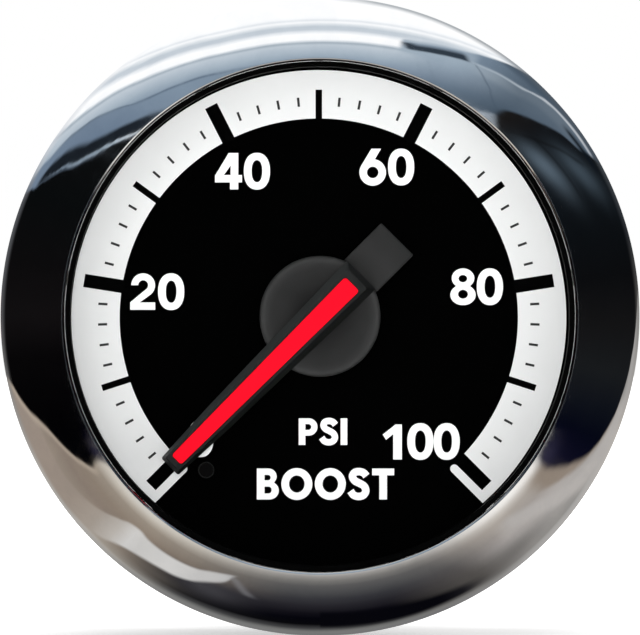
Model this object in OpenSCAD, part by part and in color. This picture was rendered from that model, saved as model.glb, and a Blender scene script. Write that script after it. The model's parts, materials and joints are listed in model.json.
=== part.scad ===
// Full-sweep electronic boost gauge for a 52 mm panel hole.
// Millimetres. The gauge axis is Y: the dial faces -Y, +Z is up and +X is to the reader's right.
// The origin is on the gauge axis, at the rear face of the bezel, which seats on the panel.
// Modules are drawn with the dial flat, x to the right, y up and z towards the reader, and stand() turns them upright.

/* [Case] */
// Outer diameter of the barrel behind the panel
case_d = 51.8; // [51.6:0.1:52.2]
// Wall thickness of the barrel
case_wall = 1.2; // [1.0:0.1:1.3]
// Depth of the case behind the panel seat
case_depth = 26; // [25.5:0.5:28]
// Thickness of the case's floor
case_floor = 2; // [1.6:0.1:2.2]

/* [Bezel] */
// Outer diameter of the bezel
bezel_d = 60; // [59.6:0.1:61]
// Diameter of the opening inside the bezel's lip
lip_d = 47.7; // [47.4:0.1:47.8]
// Height of the bezel's crest above the panel seat
crest_h = 5.2; // [4.8:0.1:5.6]
// Diameter of the bezel's crest
crest_d = 48.1; // [48.0:0.1:50]

/* [Window and dial] */
// Thickness of the window
lens_t = 1.5; // [1.2:0.1:1.7]
// Inner diameter of the black ring between dial and window
trim_d = 46.9; // [46.7:0.1:47.1]
// Thickness of the dial
dial_t = 0.6; // [0.4:0.1:0.8]
// Diameter of the small lamp window in the dial
lamp_d = 1.55; // [1.4:0.05:1.8]

/* [Pointer] */
// Distance from the axis to the pointer's tip
pointer_len = 20.0; // [19:0.1:20.6]
// Distance from the axis to the arm's blunt end
pointer_tail = 5.5; // [5.2:0.1:5.6]
// Width of the arm at its blunt end
arm_w_tail = 3.8; // [3.6:0.1:4.2]
// Width of the arm two thirds of the way to its tip
arm_w_mid = 2.9; // [2.8:0.05:3.1]
// Width of the arm at its tip
arm_w_tip = 2.28; // [2.1:0.02:2.4]
// Diameter of the hub disc
hub_d = 11.4; // [11:0.1:11.8]
// Distance from the axis to the end of the counterweight
weight_len = 10.3; // [9.8:0.1:10.8]
// Width of the counterweight
weight_w = 4.3; // [4:0.1:4.6]
// Angle of the pointer at the zero mark, clockwise from the top
zero_angle = -135; // [-135:1:-134]

/* [Movement] */
// Gear module
gear_m = 0.3; // [0.3]
// Teeth on each wheel
wheel_z = 48; // [48]
// Teeth on each pinion
pinion_z = 12; // [12]
// Diameter of the output shaft
shaft_d = 1.5; // [1.4:0.05:1.5]
// Radial running clearance of the shafts in their bearings
run_gap = 0.03; // [0.02:0.01:0.05]

/* [Connector] */
// Number of pins in the rear socket
pin_count = 4; // [3:1:4]
// Distance between pins
pin_pitch = 3; // [2.54:0.02:3]
// How far the socket stands out behind the case
socket_out = 12; // [11:0.5:12.5]

/* [Clamp] */
// Thickness of the clamp's strap
strap_t = 1.5; // [1.2:0.1:1.5]
// Width of the clamp's strap
strap_w = 14; // [12:0.5:16]
// Length of the clamp's legs
leg_len = 31; // [30.5:0.5:33]
// Diameter of the two studs
stud_d = 4; // [3.8:0.1:4.2]
// Distance between the two studs
stud_pitch = 24; // [23:0.5:26]
// Length of the studs behind the case
stud_len = 21; // [20.5:0.5:24]
// Panel thickness that the clamp is drawn at
panel_t = 2.5; // [2.3:0.1:3]
// Diameter of the thumb nuts
nut_d = 9.2; // [8.8:0.2:10]

/* [Hidden] */
$fn = 96;

case_r = case_d / 2;
bore_r = case_r - case_wall;
floor_z = -(case_depth - case_floor);
seat_z = 1.6;                       // front face of the case's flange
flange_r = 27.4;
neck_r = case_r + 0.4;              // step on the barrel that centres the bezel
lens_z = seat_z + lens_t;
lip_z = lens_z + 0.4;               // underside of the bezel's lip
dial_z = -2.2;                      // printed face of the dial
guide_z = -2.8 - (dial_t - 0.6);    // back of the dial
guide_back = -4.0;
board_front = -8.0;
board_back = -9.6;
motor_back = -19.2;
split_z = -14.4;
post_r = 21.8;                      // circle of the board's posts
lamp_pos = [-10.73, -14.49];        // lamp window, from the dial's centre
conn_pos = [0, -16.8];
shaft_r = shaft_d / 2;

// gear train: output wheel on the axis, idler beside it, rotor above
wheel_r = gear_m * wheel_z / 2;
pinion_r = gear_m * pinion_z / 2;
centre = wheel_r + pinion_r;
idler_pos = [centre * 0.8, centre * 0.6];
rotor_pos = [0, centre * 1.2];
ang_oi = atan2(idler_pos[1], idler_pos[0]);
ang_ir = atan2(rotor_pos[1] - idler_pos[1], rotor_pos[0] - idler_pos[0]);

bar_z = -(panel_t + leg_len);       // front face of the clamp's bar
nut_z = bar_z - strap_t - 0.9;

module stand() { rotate([90, 0, 0]) children(); }
module at(p, z = 0) { translate([p[0], p[1], z]) children(); }
module posts() { for (a = [90, 210, 330]) at([post_r * cos(a), post_r * sin(a)]) children(); }
module ring(ro, ri, z0, z1) { rotate_extrude() polygon([[ri, z0], [ro, z0], [ro, z1], [ri, z1]]); }
module rod(r, z0, z1) { translate([0, 0, z0]) cylinder(r = r, h = z1 - z0); }
module block(w, d, z0, z1) { translate([-w / 2, -d / 2, z0]) cube([w, d, z1 - z0]); }
// flat rectangle with round corners, from true circles
module slab2d(x0, y0, x1, y1, r) {
  translate([x0 + r, y0]) square([x1 - x0 - 2 * r, y1 - y0]);
  translate([x0, y0 + r]) square([x1 - x0, y1 - y0 - 2 * r]);
  for (x = [x0 + r, x1 - r], y = [y0 + r, y1 - r]) translate([x, y]) circle(r = r, $fn = 32);
}
module slab(x0, y0, x1, y1, r, z0, z1) {
  translate([0, 0, z0]) linear_extrude(height = z1 - z0) slab2d(x0, y0, x1, y1, r);
}

// ---- involute teeth ----
function inv(r, rb) = let (c = min(1, rb / r), a = acos(c)) tan(a) - a * PI / 180;
// half of the tooth's angle at radius r, in degrees
function half_tooth(r, z, thick) =
  let (rp = gear_m * z / 2, rb = rp * cos(20))
  (thick * PI * gear_m / (2 * rp) + inv(rp, rb) - inv(max(r, rb), rb)) * 180 / PI;
function tooth_radii(z) =
  let (rp = gear_m * z / 2, rb = rp * cos(20))
  z > 20
    ? [rp - 0.35, rp, rp + 0.21]
    : [rp - 0.30, rb, rp, rp + 0.14, rp + 0.27];
function gear_points(z, phase) =
  let (rr = tooth_radii(z), n = len(rr))
  [for (k = [0:z - 1])
    let (mid = phase + 360 * k / z)
    each concat(
      [for (i = [0:n - 1]) let (a = mid - half_tooth(rr[i], z, 0.47)) rr[i] * [cos(a), sin(a)]],
      [for (i = [n - 1:-1:0]) let (a = mid + half_tooth(rr[i], z, 0.47)) rr[i] * [cos(a), sin(a)]])];
module toothed(z, phase, z0, z1) {
  translate([0, 0, z0]) linear_extrude(height = z1 - z0) polygon(gear_points(z, phase));
}

// ---- bezel section: rolled rear edge, broad outer curve, short roll-over at the lip ----
function bezel_section() =
  let (ro = bezel_d / 2, rc = crest_d / 2, rl = lip_d / 2, low = 1.0, lip_top = crest_h - 0.7)
  concat(
    [[rl + 0.25, lip_z], [flange_r, lip_z], [flange_r, 0.5], [neck_r, 0.5],
     [neck_r, 0], [ro - 0.75, 0], [ro - 0.3, 0.15], [ro, 0.55]],
    [for (i = [0:14]) let (a = i * 90 / 14) [rc + (ro - rc) * cos(a), low + (crest_h - low) * sin(a)]],
    [for (i = [1:9]) let (a = 90 + i * 90 / 9) [rc + (rc - rl) * cos(a), lip_top + (crest_h - lip_top) * sin(a)]]);

// ================= case, bezel and window =================
module case() {
  color([0.05, 0.05, 0.055]) stand() {
    difference() {
      union() {
        rotate_extrude() polygon(concat(
          [[0, -case_depth]],
          [for (i = [0:6]) let (a = 270 + i * 15) [case_r - 1.2 + 1.2 * cos(a), -case_depth + 1.2 + 1.2 * sin(a)]],
          [[case_r, 0], [neck_r, 0], [neck_r, 0.5], [flange_r, 0.5],
           [flange_r, seat_z], [bore_r, seat_z], [bore_r, floor_z], [0, floor_z]]));
        // bosses that the studs come through
        for (s = [-1, 1]) at([s * stud_pitch / 2, 0]) ring(4.2, stud_d / 2, -case_depth - 1, -case_depth + 0.2);
        intersection() {
          posts() rod(1.9, floor_z - 0.5, board_back);
          rod(bore_r + 0.3, -case_depth, 0);
        }
      }
      posts() rod(0.8, -17, board_back + 1);
      for (s = [-1, 1]) at([s * stud_pitch / 2, 0]) rod(stud_d / 2, -case_depth - 1, floor_z + 1);
      at(conn_pos) block(16.4, 8.4, -case_depth - 1, floor_z + 1);
    }
  }
}

module bezel() {
  color([0.82, 0.83, 0.85]) stand() rotate_extrude($fn = 180) polygon(bezel_section());
}

module lens_gasket() {
  color([0.03, 0.03, 0.03]) stand() ring(27.2, lip_d / 2 + 0.5, lens_z, lip_z);
}

module lens() {
  color([0.9, 0.95, 0.97, 0.3]) stand() ring(27.2, 0, seat_z, lens_z);
}

module trim_ring() {
  color([0.04, 0.04, 0.04]) stand() ring(24.6, trim_d / 2, dial_z, seat_z);
}

module dial() {
  color([0.02, 0.02, 0.02]) stand() difference() {
    rod(24.5, guide_z, dial_z);
    rod(2.4, guide_z - 1, dial_z + 1);
    at(lamp_pos) rod(lamp_d / 2, guide_z - 1, dial_z + 1);
  }
}

module warning_lens() {
  color([0.05, 0.04, 0.04]) stand() at(lamp_pos) rod(lamp_d / 2, guide_z, dial_z - 0.08);
}

module light_guide() {
  color([0.85, 0.92, 0.95, 0.5]) stand() difference() {
    rod(24.2, guide_back, guide_z);
    rod(3.2, guide_back - 1, guide_z + 1);
    at(lamp_pos) rod(1.3, guide_back - 1, guide_z + 1);
  }
}

module light_box() {
  color([0.92, 0.92, 0.9]) stand() difference() {
    union() {
      ring(24.2, 22.9, board_front, guide_back);
      ring(7.3, 6.5, board_front, guide_back);
      at(lamp_pos) rod(2.2, board_front, guide_back);
      // webs between the walls, one of them through the lamp's tube
      for (a = [30, 150, 270, atan2(lamp_pos[1], lamp_pos[0])])
        rotate(a) translate([6.9, -0.4, board_front + 0.5]) cube([16.5, 0.8, guide_back - board_front - 1.0]);
    }
    at(lamp_pos) rod(1.5, board_front - 1, guide_back + 1);
    posts() rod(2.1, board_front - 1, board_front + 1.8);
  }
}

// ================= electronics =================
module circuit_board() {
  color([0.05, 0.28, 0.14]) stand() difference() {
    rod(24.2, board_back, board_front);
    rod(3.0, board_back - 1, board_front + 1);
    posts() rod(1.1, board_back - 1, board_front + 1);
    pin_places() rod(0.5, board_back - 1, board_front + 1);
    terminal_places() rod(0.5, board_back - 1, board_front + 1);
  }
}

module dial_leds() {
  color([0.95, 0.93, 0.75]) stand()
    for (k = [0:7]) rotate(22.5 + 45 * k) translate([17.5, 0, 0]) {
      block(2.8, 2.8, board_front, board_front + 0.6);
      rod(1.0, board_front + 0.6, board_front + 0.8);
    }
}

module pointer_leds() {
  color([0.9, 0.3, 0.3]) stand() for (s = [-1, 1]) at([s * 4.8, 0]) {
    block(0.9, 1.6, board_front, board_front + 0.4);
    block(0.7, 0.9, board_front + 0.4, board_front + 0.7);
  }
}

module warning_led() {
  color([0.9, 0.6, 0.2]) stand() at(lamp_pos) {
    block(1.6, 1.2, board_front, board_front + 0.5);
    rod(0.45, board_front + 0.5, board_front + 0.9);
  }
}

module microcontroller() {
  color([0.06, 0.06, 0.07]) stand() at([-19.9, 0]) {
    block(4.4, 4.4, board_back - 1.0, board_back - 0.1);
    for (s = [-1, 1], k = [-2:2]) {
      at([s * 2.45, k * 0.8]) block(0.7, 0.3, board_back - 0.35, board_back);
      at([k * 0.8, s * 2.45]) block(0.3, 0.7, board_back - 0.35, board_back);
    }
  }
}

module voltage_regulator() {
  color([0.07, 0.07, 0.08]) stand() at([20, 3]) {
    block(3.5, 6.5, board_back - 1.6, board_back - 0.1);
    for (k = [-1:1]) at([-2.1, k * 2.3]) block(1.0, 0.7, board_back - 0.4, board_back);
    at([2.0, 0]) block(0.9, 3.0, board_back - 0.4, board_back);
  }
}

module capacitors() {
  color([0.75, 0.76, 0.78]) stand() for (p = [[20.2, -4.5], [-20.0, 7.2]]) at(p) {
    rod(2.0, board_back - 5.4, board_back - 0.6);
    block(4.2, 4.2, board_back - 0.6, board_back);
  }
}

module crystal() {
  color([0.78, 0.78, 0.76]) stand() at([-19.8, -5.4]) {
    block(2.5, 3.2, board_back - 0.8, board_back - 0.3);
    block(2.1, 2.8, board_back - 0.3, board_back);
  }
}

module chip_resistors() {
  color([0.12, 0.12, 0.13]) stand()
    for (p = [[-11, 18.8], [-8, 18.8], [-5, 18.8], [5, 18.8], [8, 18.8], [11, 18.8],
              [-12.5, -13.6], [-12.5, -15.6], [12.5, -13.6], [12.5, -15.6]])
      at(p) block(1.6, 0.8, board_back - 0.5, board_back);
}

module board_screws() {
  color([0.7, 0.7, 0.68]) stand() posts() difference() {
    union() {
      rod(1.75, board_front, board_front + 1.2);
      rod(0.8, -16, board_front + 0.2);
    }
    block(2.0, 0.4, board_front + 0.5, board_front + 2);
    block(0.4, 2.0, board_front + 0.5, board_front + 2);
  }
}

// ================= rear socket =================
module pin_places() {
  for (k = [0:pin_count - 1]) at([conn_pos[0] + (k - (pin_count - 1) / 2) * pin_pitch, conn_pos[1]]) children();
}

module connector_housing() {
  back = -case_depth - socket_out;
  color([0.07, 0.07, 0.075]) stand() difference() {
    at(conn_pos) union() {
      slab(-8, -4, 8, 4, 0.8, back, board_back);
      slab(-9, -5, 9, 5, 1.0, floor_z + 0.8, floor_z + 2.2);
      // ramp that the plug's latch snaps over
      at([0, 4]) translate([-2, -0.3, back + 4]) cube([4, 1.3, 3]);
    }
    at(conn_pos) slab(-6.5, -2.8, 6.5, 2.8, 0.6, back - 1, -case_depth - 0.5);
    // polarising slots in the shroud's lower wall
    for (s = [-1, 1]) at(conn_pos) translate([s * 3.5 - 0.6, -4.5, back - 1]) cube([1.2, 2.2, 7]);
    pin_places() block(0.64, 0.64, back, board_back + 1);
  }
}

module connector_pins() {
  color([0.83, 0.68, 0.3]) stand() pin_places() block(0.64, 0.64, -33 - (case_depth - 26), board_front + 0.6);
}

module connector_gasket() {
  color([0.03, 0.03, 0.035]) stand() at(conn_pos) difference() {
    slab(-9, -5, 9, 5, 1.0, floor_z, floor_z + 0.8);
    block(16.4, 8.4, floor_z - 1, floor_z + 2);
  }
}

// ================= movement =================
module terminal_places() {
  for (s = [-1, 1], y = [-8.7, -6.6]) at([s * 13.2, y]) children();
}

module motor_front_cover() {
  color([0.1, 0.1, 0.11]) stand() difference() {
    union() {
      slab(-15.8, -10.6, 15.8, 17, 2, split_z, board_back);
      rod(2.6, board_back - 0.1, board_back + 1.1);
    }
    slab(-15, -9.8, 15, 16.2, 1.2, split_z - 1, board_back - 1);
    rod(shaft_r + run_gap, -13, -7);
    at(idler_pos) rod(0.5, -12, -9.9);
    at(rotor_pos) rod(0.5, -12, -9.9);
    terminal_places() rod(0.3, -12, -7);
  }
}

module motor_rear_housing() {
  color([0.1, 0.1, 0.11]) stand() difference() {
    union() {
      difference() {
        slab(-15.8, -10.6, 15.8, 17, 2, motor_back, split_z);
        slab(-15, -9.8, 15, 16.2, 1.2, motor_back + 1, split_z + 1);
      }
      rod(2.0, motor_back + 0.5, -16.6);
      at(idler_pos) rod(1.0, motor_back + 0.5, -14.2);
      at(rotor_pos) rod(1.3, motor_back + 0.5, -17.6);
      // pads that carry the stator
      for (s = [-1, 1], y = [-8, 13.4]) at([s * 11, y]) rod(0.8, motor_back + 0.5, -16.5);
    }
    rod(shaft_r + run_gap, -18.7, -16);
    at(idler_pos) rod(0.5, -18.9, -14);
    at(rotor_pos) rod(0.5, -18.9, -17);
  }
}

module motor_stator() {
  color([0.55, 0.56, 0.58]) stand() translate([0, 0, -16.5]) linear_extrude(height = 1) difference() {
    union() {
      slab2d(-12, 6.7, 12, 15, 0.8);
      slab2d(-12, -9.2, 12, -6.8, 0.6);
      for (s = [-1, 1]) translate([s * 10.5 - 0.9, -7]) square([1.8, 14]);
    }
    translate(rotor_pos) circle(r = 3.5);
  }
}

module coil_bobbins() {
  color([0.16, 0.16, 0.17]) stand() for (s = [-1, 1]) difference() {
    union() {
      at([s * 10.5, 0]) translate([-1.3, -6.6, -16.9]) cube([2.6, 9.6, 1.8]);
      for (y = [-6.6, 2.4]) at([s * 10.5, y]) translate([-2.2, 0, -17.75]) cube([4.4, 0.6, 3.5]);
      at([s * 13.2, -7.65]) block(2.2, 3.3, -16.8, -14.6);
    }
    at([s * 10.5, 0]) translate([-0.9, -8, -16.5]) cube([1.8, 12, 1]);
    translate([s > 0 ? 11.4 : -12.0, -9.2, -16.5]) cube([0.6, 2.4, 1]);
    terminal_places() rod(0.3, -16.2, -14);
  }
}

module motor_coils() {
  color([0.62, 0.33, 0.14]) stand() for (s = [-1, 1]) at([s * 10.5, 2.4, 0])
    translate([0, 0, -16]) rotate([90, 0, 0]) linear_extrude(height = 8.4) difference() {
      slab2d(-2.0, -1.6, 2.0, 1.6, 0.6);
      square([2.6, 1.8], center = true);
    }
}

module motor_terminals() {
  color([0.8, 0.8, 0.78]) stand() terminal_places() rod(0.3, -16.2, board_front + 0.6);
}

module idler_axle() {
  color([0.72, 0.73, 0.75]) stand() at(idler_pos) rod(0.5, -18.9, -9.9);
}

module rotor_axle() {
  color([0.72, 0.73, 0.75]) stand() at(rotor_pos) rod(0.5, -18.9, -9.9);
}

module output_shaft() {
  color([0.72, 0.73, 0.75]) stand() rod(shaft_r, -18.6, -0.9);
}

module output_gear() {
  color([0.93, 0.92, 0.86]) stand() difference() {
    union() {
      toothed(wheel_z, ang_oi, -12.2, -11.0);
      rod(1.5, -12.6, -10.8);
    }
    rod(shaft_r, -13, -10);
    for (a = [0:60:300]) rotate(a + 10) translate([4.2, 0, 0]) rod(1.1, -13, -10);
  }
}

module idler_gear() {
  color([0.93, 0.92, 0.86]) stand() at(idler_pos) difference() {
    union() {
      toothed(wheel_z, ang_ir, -14.0, -12.8);
      toothed(pinion_z, ang_oi + 180 + 180 / pinion_z, -12.9, -10.9);
    }
    rod(0.5 + run_gap, -15, -10);
    for (a = [0:72:288]) rotate(a) translate([4.4, 0, 0]) rod(1.2, -15, -10);
  }
}

module rotor_pinion() {
  color([0.93, 0.92, 0.86]) stand() at(rotor_pos) difference() {
    union() {
      toothed(pinion_z, ang_ir + 180 + 180 / pinion_z, -14.2, -12.6);
      rod(1.0, -17.4, -14.1);
    }
    rod(0.5 + run_gap, -18, -12);
  }
}

module rotor_magnet() {
  color([0.2, 0.2, 0.21]) stand() at(rotor_pos) ring(3.0, 1.0, -17.2, -14.6);
}

// ================= pointer =================
// drawn pointing up, then turned to the zero mark
module needle() { stand() rotate(-zero_angle) children(); }

module arm2d(grow = 0) {
  a = arm_w_tail / 2 + grow;
  m = arm_w_mid / 2 + grow;
  b = arm_w_tip / 2 + grow;
  polygon([
    [-a, -pointer_tail - grow], [a, -pointer_tail - grow], [m, 13.2],
    [b, pointer_len - 0.25], [b - 0.25, pointer_len + grow],
    [-b + 0.25, pointer_len + grow], [-b, pointer_len - 0.25], [-m, 13.2]]);
}

// red insert: tapered, with round corners
module stripe2d() {
  h0 = 0.94;
  h1 = 0.64;
  r = 0.3;
  polygon([for (c = [[h0 - r, -4.3 + r, -90], [h1 - r, 19.1 - r, 0], [r - h1, 19.1 - r, 90], [r - h0, -4.3 + r, 180]])
    for (i = [0:6]) [c[0] + r * cos(c[2] + i * 15), c[1] + r * sin(c[2] + i * 15)]]);
}

module pointer_arm() {
  color([0.03, 0.03, 0.03]) needle() difference() {
    translate([0, 0, -0.5]) linear_extrude(height = 1.1) arm2d();
    translate([0, 0, 0.3]) linear_extrude(height = 1) stripe2d();
  }
}

module pointer_stripe() {
  color([0.95, 0.06, 0.14]) needle() translate([0, 0, 0.3]) linear_extrude(height = 0.4) stripe2d();
}

module hub_cap() {
  color([0.16, 0.16, 0.16]) needle() difference() {
    rod(hub_d / 2, -1.4, -0.5);
    rod(shaft_r, -2, -0.9);
  }
}

module counterweight() {
  color([0.19, 0.19, 0.19]) needle() union() {
    translate([-weight_w / 2, -weight_len, -1.9]) cube([weight_w, weight_len - 2, 0.5]);
    difference() {
      translate([-weight_w / 2, -weight_len, -1.9]) cube([weight_w, weight_len - 4, 1.2]);
      rod(hub_d / 2 + 0.05, -1.41, 1);
    }
  }
}

module pointer_stem() {
  color([0.9, 0.9, 0.9]) needle() ring(1.7, shaft_r, -3.4, -1.4);
}

// ================= panel clamp =================
module mounting_studs() {
  color([0.72, 0.72, 0.7]) stand() for (s = [-1, 1]) at([s * stud_pitch / 2, 0]) {
    rod(stud_d / 2 - 0.35, -case_depth - stud_len, -case_depth - stud_len + 0.5);
    rod(stud_d / 2, -case_depth - stud_len + 0.4, floor_z + 0.1);
    rod(3.0, floor_z, floor_z + 1.5);
  }
}

// section of the strap in x and z, with bent corners
function strap_points() =
  let (xi = 27.6, t = strap_t, ri = 1.6, ro = ri + t, zt = -panel_t, zb = bar_z)
  concat(
    [[-xi - t, zt]],
    [for (i = [0:6]) let (a = 180 + i * 15) [-xi - t + ro + ro * cos(a), zb - t + ro + ro * sin(a)]],
    [for (i = [0:6]) let (a = 270 + i * 15) [xi + t - ro + ro * cos(a), zb - t + ro + ro * sin(a)]],
    [[xi + t, zt], [xi, zt]],
    [for (i = [0:6]) let (a = 360 - i * 15) [xi - ri + ri * cos(a), zb + ri + ri * sin(a)]],
    [for (i = [0:6]) let (a = 270 - i * 15) [-xi + ri + ri * cos(a), zb + ri + ri * sin(a)]],
    [[-xi, zt]]);

module u_clamp() {
  color([0.66, 0.67, 0.69]) stand() difference() {
    translate([0, strap_w / 2, 0]) rotate([90, 0, 0]) linear_extrude(height = strap_w) polygon(strap_points());
    for (s = [-1, 1]) at([s * stud_pitch / 2, 0]) rod(stud_d / 2 + 0.3, bar_z - strap_t - 1, bar_z + 1);
  }
}

module lock_washers() {
  color([0.62, 0.62, 0.62]) stand() for (s = [-1, 1]) at([s * stud_pitch / 2, 0]) difference() {
    ring(3.9, stud_d / 2 + 0.3, nut_z, bar_z - strap_t);
    rotate(s * 40) translate([0, -0.2, nut_z - 1]) cube([5, 0.4, 3]);
  }
}

module thumb_nut() {
  n = 30;
  difference() {
    union() {
      translate([0, 0, nut_z - 3.6]) linear_extrude(height = 3.0)
        polygon([for (k = [0:2 * n - 1]) let (r = nut_d / 2 - (k % 2) * 0.3, a = k * 180 / n) r * [cos(a), sin(a)]]);
      rod(nut_d / 2 - 0.9, nut_z - 4.6, nut_z);
    }
    rod(stud_d / 2 + run_gap, nut_z - 6, nut_z + 1);
  }
}

module nut_left() { color([0.8, 0.65, 0.3]) stand() at([-stud_pitch / 2, 0]) thumb_nut(); }
module nut_right() { color([0.8, 0.65, 0.3]) stand() at([stud_pitch / 2, 0]) thumb_nut(); }

case();
bezel();
lens_gasket();
lens();
trim_ring();
dial();
warning_lens();
light_guide();
light_box();
circuit_board();
dial_leds();
pointer_leds();
warning_led();
microcontroller();
voltage_regulator();
capacitors();
crystal();
chip_resistors();
board_screws();
connector_housing();
connector_pins();
connector_gasket();
motor_front_cover();
motor_rear_housing();
motor_stator();
coil_bobbins();
motor_coils();
motor_terminals();
idler_axle();
rotor_axle();
mounting_studs();
pointer_arm();
pointer_stripe();
hub_cap();
counterweight();
pointer_stem();
output_shaft();
output_gear();
idler_gear();
rotor_magnet();
rotor_pinion();
u_clamp();
lock_washers();
nut_left();
nut_right();
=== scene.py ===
import bpy
import bmesh
import json
import math
import numpy as np
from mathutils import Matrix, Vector
from mathutils.geometry import tessellate_polygon

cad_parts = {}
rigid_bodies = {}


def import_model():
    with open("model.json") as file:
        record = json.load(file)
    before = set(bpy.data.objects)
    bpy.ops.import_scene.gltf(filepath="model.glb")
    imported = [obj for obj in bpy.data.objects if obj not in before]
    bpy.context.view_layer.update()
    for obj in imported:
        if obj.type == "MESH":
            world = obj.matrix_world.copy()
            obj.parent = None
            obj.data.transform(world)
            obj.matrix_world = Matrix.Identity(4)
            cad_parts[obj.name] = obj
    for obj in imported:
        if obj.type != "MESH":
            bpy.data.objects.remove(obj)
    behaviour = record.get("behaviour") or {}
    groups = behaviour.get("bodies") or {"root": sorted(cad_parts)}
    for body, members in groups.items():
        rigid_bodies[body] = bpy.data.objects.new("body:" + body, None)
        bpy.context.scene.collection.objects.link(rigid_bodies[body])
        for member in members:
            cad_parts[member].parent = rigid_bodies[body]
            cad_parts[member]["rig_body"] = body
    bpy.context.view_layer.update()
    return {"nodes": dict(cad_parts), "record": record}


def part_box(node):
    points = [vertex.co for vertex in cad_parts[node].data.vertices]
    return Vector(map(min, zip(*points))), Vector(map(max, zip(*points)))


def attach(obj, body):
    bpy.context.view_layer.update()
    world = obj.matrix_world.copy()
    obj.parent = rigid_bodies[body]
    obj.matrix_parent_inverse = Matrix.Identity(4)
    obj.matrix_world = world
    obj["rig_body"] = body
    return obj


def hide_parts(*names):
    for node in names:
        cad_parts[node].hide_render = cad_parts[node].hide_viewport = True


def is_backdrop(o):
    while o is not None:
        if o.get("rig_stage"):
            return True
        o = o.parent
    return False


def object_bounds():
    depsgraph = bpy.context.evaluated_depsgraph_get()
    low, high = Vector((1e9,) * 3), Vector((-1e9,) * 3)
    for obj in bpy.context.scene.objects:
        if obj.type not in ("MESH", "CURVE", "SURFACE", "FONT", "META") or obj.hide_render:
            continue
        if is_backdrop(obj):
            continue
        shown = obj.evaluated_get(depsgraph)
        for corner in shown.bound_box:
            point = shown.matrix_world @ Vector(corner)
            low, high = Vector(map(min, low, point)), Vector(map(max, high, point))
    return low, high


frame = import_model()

NODES = frame["nodes"]
scene = bpy.context.scene
PI = math.pi


# ---------------------------------------------------------------- small tools
def W(x, y, z):
    """Dial coordinates in mm (x right, y up, z towards the reader) to the frame in metres."""
    return (x * 0.001, -z * 0.001, y * 0.001)


def lin(c):
    """sRGB 0-255 to linear."""
    out = []
    for v in c[:3]:
        v = v / 255.0
        out.append(v / 12.92 if v <= 0.04045 else ((v + 0.055) / 1.055) ** 2.4)
    return (out[0], out[1], out[2], 1.0)


# camera: straight on, with the gauge's axis a little above the middle of the frame
DIST = 0.9
FRAME_W = 0.0601
AXIS_PX = (320.0, 316.3)
PRINT_K = FRAME_W * 1000 / 640 * (DIST + 0.0032) / DIST   # mm per pixel at the dial's face
PRINT_C = ((318.8 - AXIS_PX[0]) * PRINT_K, (AXIS_PX[1] - 317.6) * PRINT_K)  # the print sits a little off the axis
PRINT_S = PRINT_K / 0.0939


def px(x, y):
    """A place on the dial's print, in the view's pixels, to mm from the gauge's axis."""
    return ((x - AXIS_PX[0]) * PRINT_K, (AXIS_PX[1] - y) * PRINT_K)


def finish_mesh(obj, angle=35):
    me = obj.data
    me.validate()
    me.update()
    me.shade_smooth()
    me.set_sharp_from_angle(angle=math.radians(angle))


def make(name, verts, faces, body, mat, replaces=(), angle=35, recalc=True):
    me = bpy.data.meshes.new(name)
    me.from_pydata([W(*v) for v in verts], [], faces)
    if recalc:
        bm = bmesh.new()
        bm.from_mesh(me)
        bmesh.ops.recalc_face_normals(bm, faces=bm.faces)
        bm.to_mesh(me)
        bm.free()
    obj = bpy.data.objects.new(name, me)
    scene.collection.objects.link(obj)
    finish_mesh(obj, angle)
    me.materials.append(mat)
    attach(obj, body)
    if replaces:
        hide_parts(*replaces)
    return obj


def lathe_data(profile, n=192, cx=0.0, cy=0.0):
    """Closed profile of (r, z) turned about the axis through (cx, cy)."""
    verts, rings = [], []
    for r, z in profile:
        if r < 1e-6:
            rings.append([len(verts)])
            verts.append((cx, cy, z))
        else:
            rings.append(list(range(len(verts), len(verts) + n)))
            for k in range(n):
                a = 2 * PI * k / n
                verts.append((cx + r * math.cos(a), cy + r * math.sin(a), z))
    faces = []
    for i in range(len(rings)):
        a, b = rings[i], rings[(i + 1) % len(rings)]
        if len(a) == 1 and len(b) == 1:
            continue
        for k in range(n):
            k2 = (k + 1) % n
            if len(a) == 1:
                faces.append((a[0], b[k], b[k2]))
            elif len(b) == 1:
                faces.append((a[k], b[0], a[k2]))
            else:
                faces.append((a[k], b[k], b[k2], a[k2]))
    return verts, faces


def plate_data(loops, z0, z1):
    """A flat plate with an outer loop and holes, all lists of (x, y)."""
    verts, faces, starts = [], [], []
    flat = [[Vector((p[0], p[1], 0)) for p in lp] for lp in loops]
    tris = tessellate_polygon(flat)
    pts = [p for lp in loops for p in lp]
    n = len(pts)
    verts = [(p[0], p[1], z1) for p in pts] + [(p[0], p[1], z0) for p in pts]
    for t in tris:
        faces.append(tuple(t))
        faces.append(tuple(i + n for i in reversed(t)))
    s = 0
    for lp in loops:
        m = len(lp)
        for i in range(m):
            j = (i + 1) % m
            faces.append((s + i, s + i + n, s + j + n, s + j))
        s += m
    return verts, faces


def join(parts):
    verts, faces = [], []
    for v, f in parts:
        k = len(verts)
        verts += v
        faces += [tuple(i + k for i in face) for face in f]
    return verts, faces


def stack_data(loops, cap_first=True, cap_last=True):
    """Loops of 3-D points with one count each, joined by quads and capped."""
    verts, faces = [], []
    m = len(loops[0])
    for lp in loops:
        verts += lp
    for i in range(len(loops) - 1):
        for k in range(m):
            k2 = (k + 1) % m
            faces.append((i * m + k, i * m + k2, (i + 1) * m + k2, (i + 1) * m + k))
    if cap_first:
        faces.append(tuple(reversed(range(m))))
    if cap_last:
        faces.append(tuple(range((len(loops) - 1) * m, len(loops) * m)))
    return verts, faces


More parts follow.
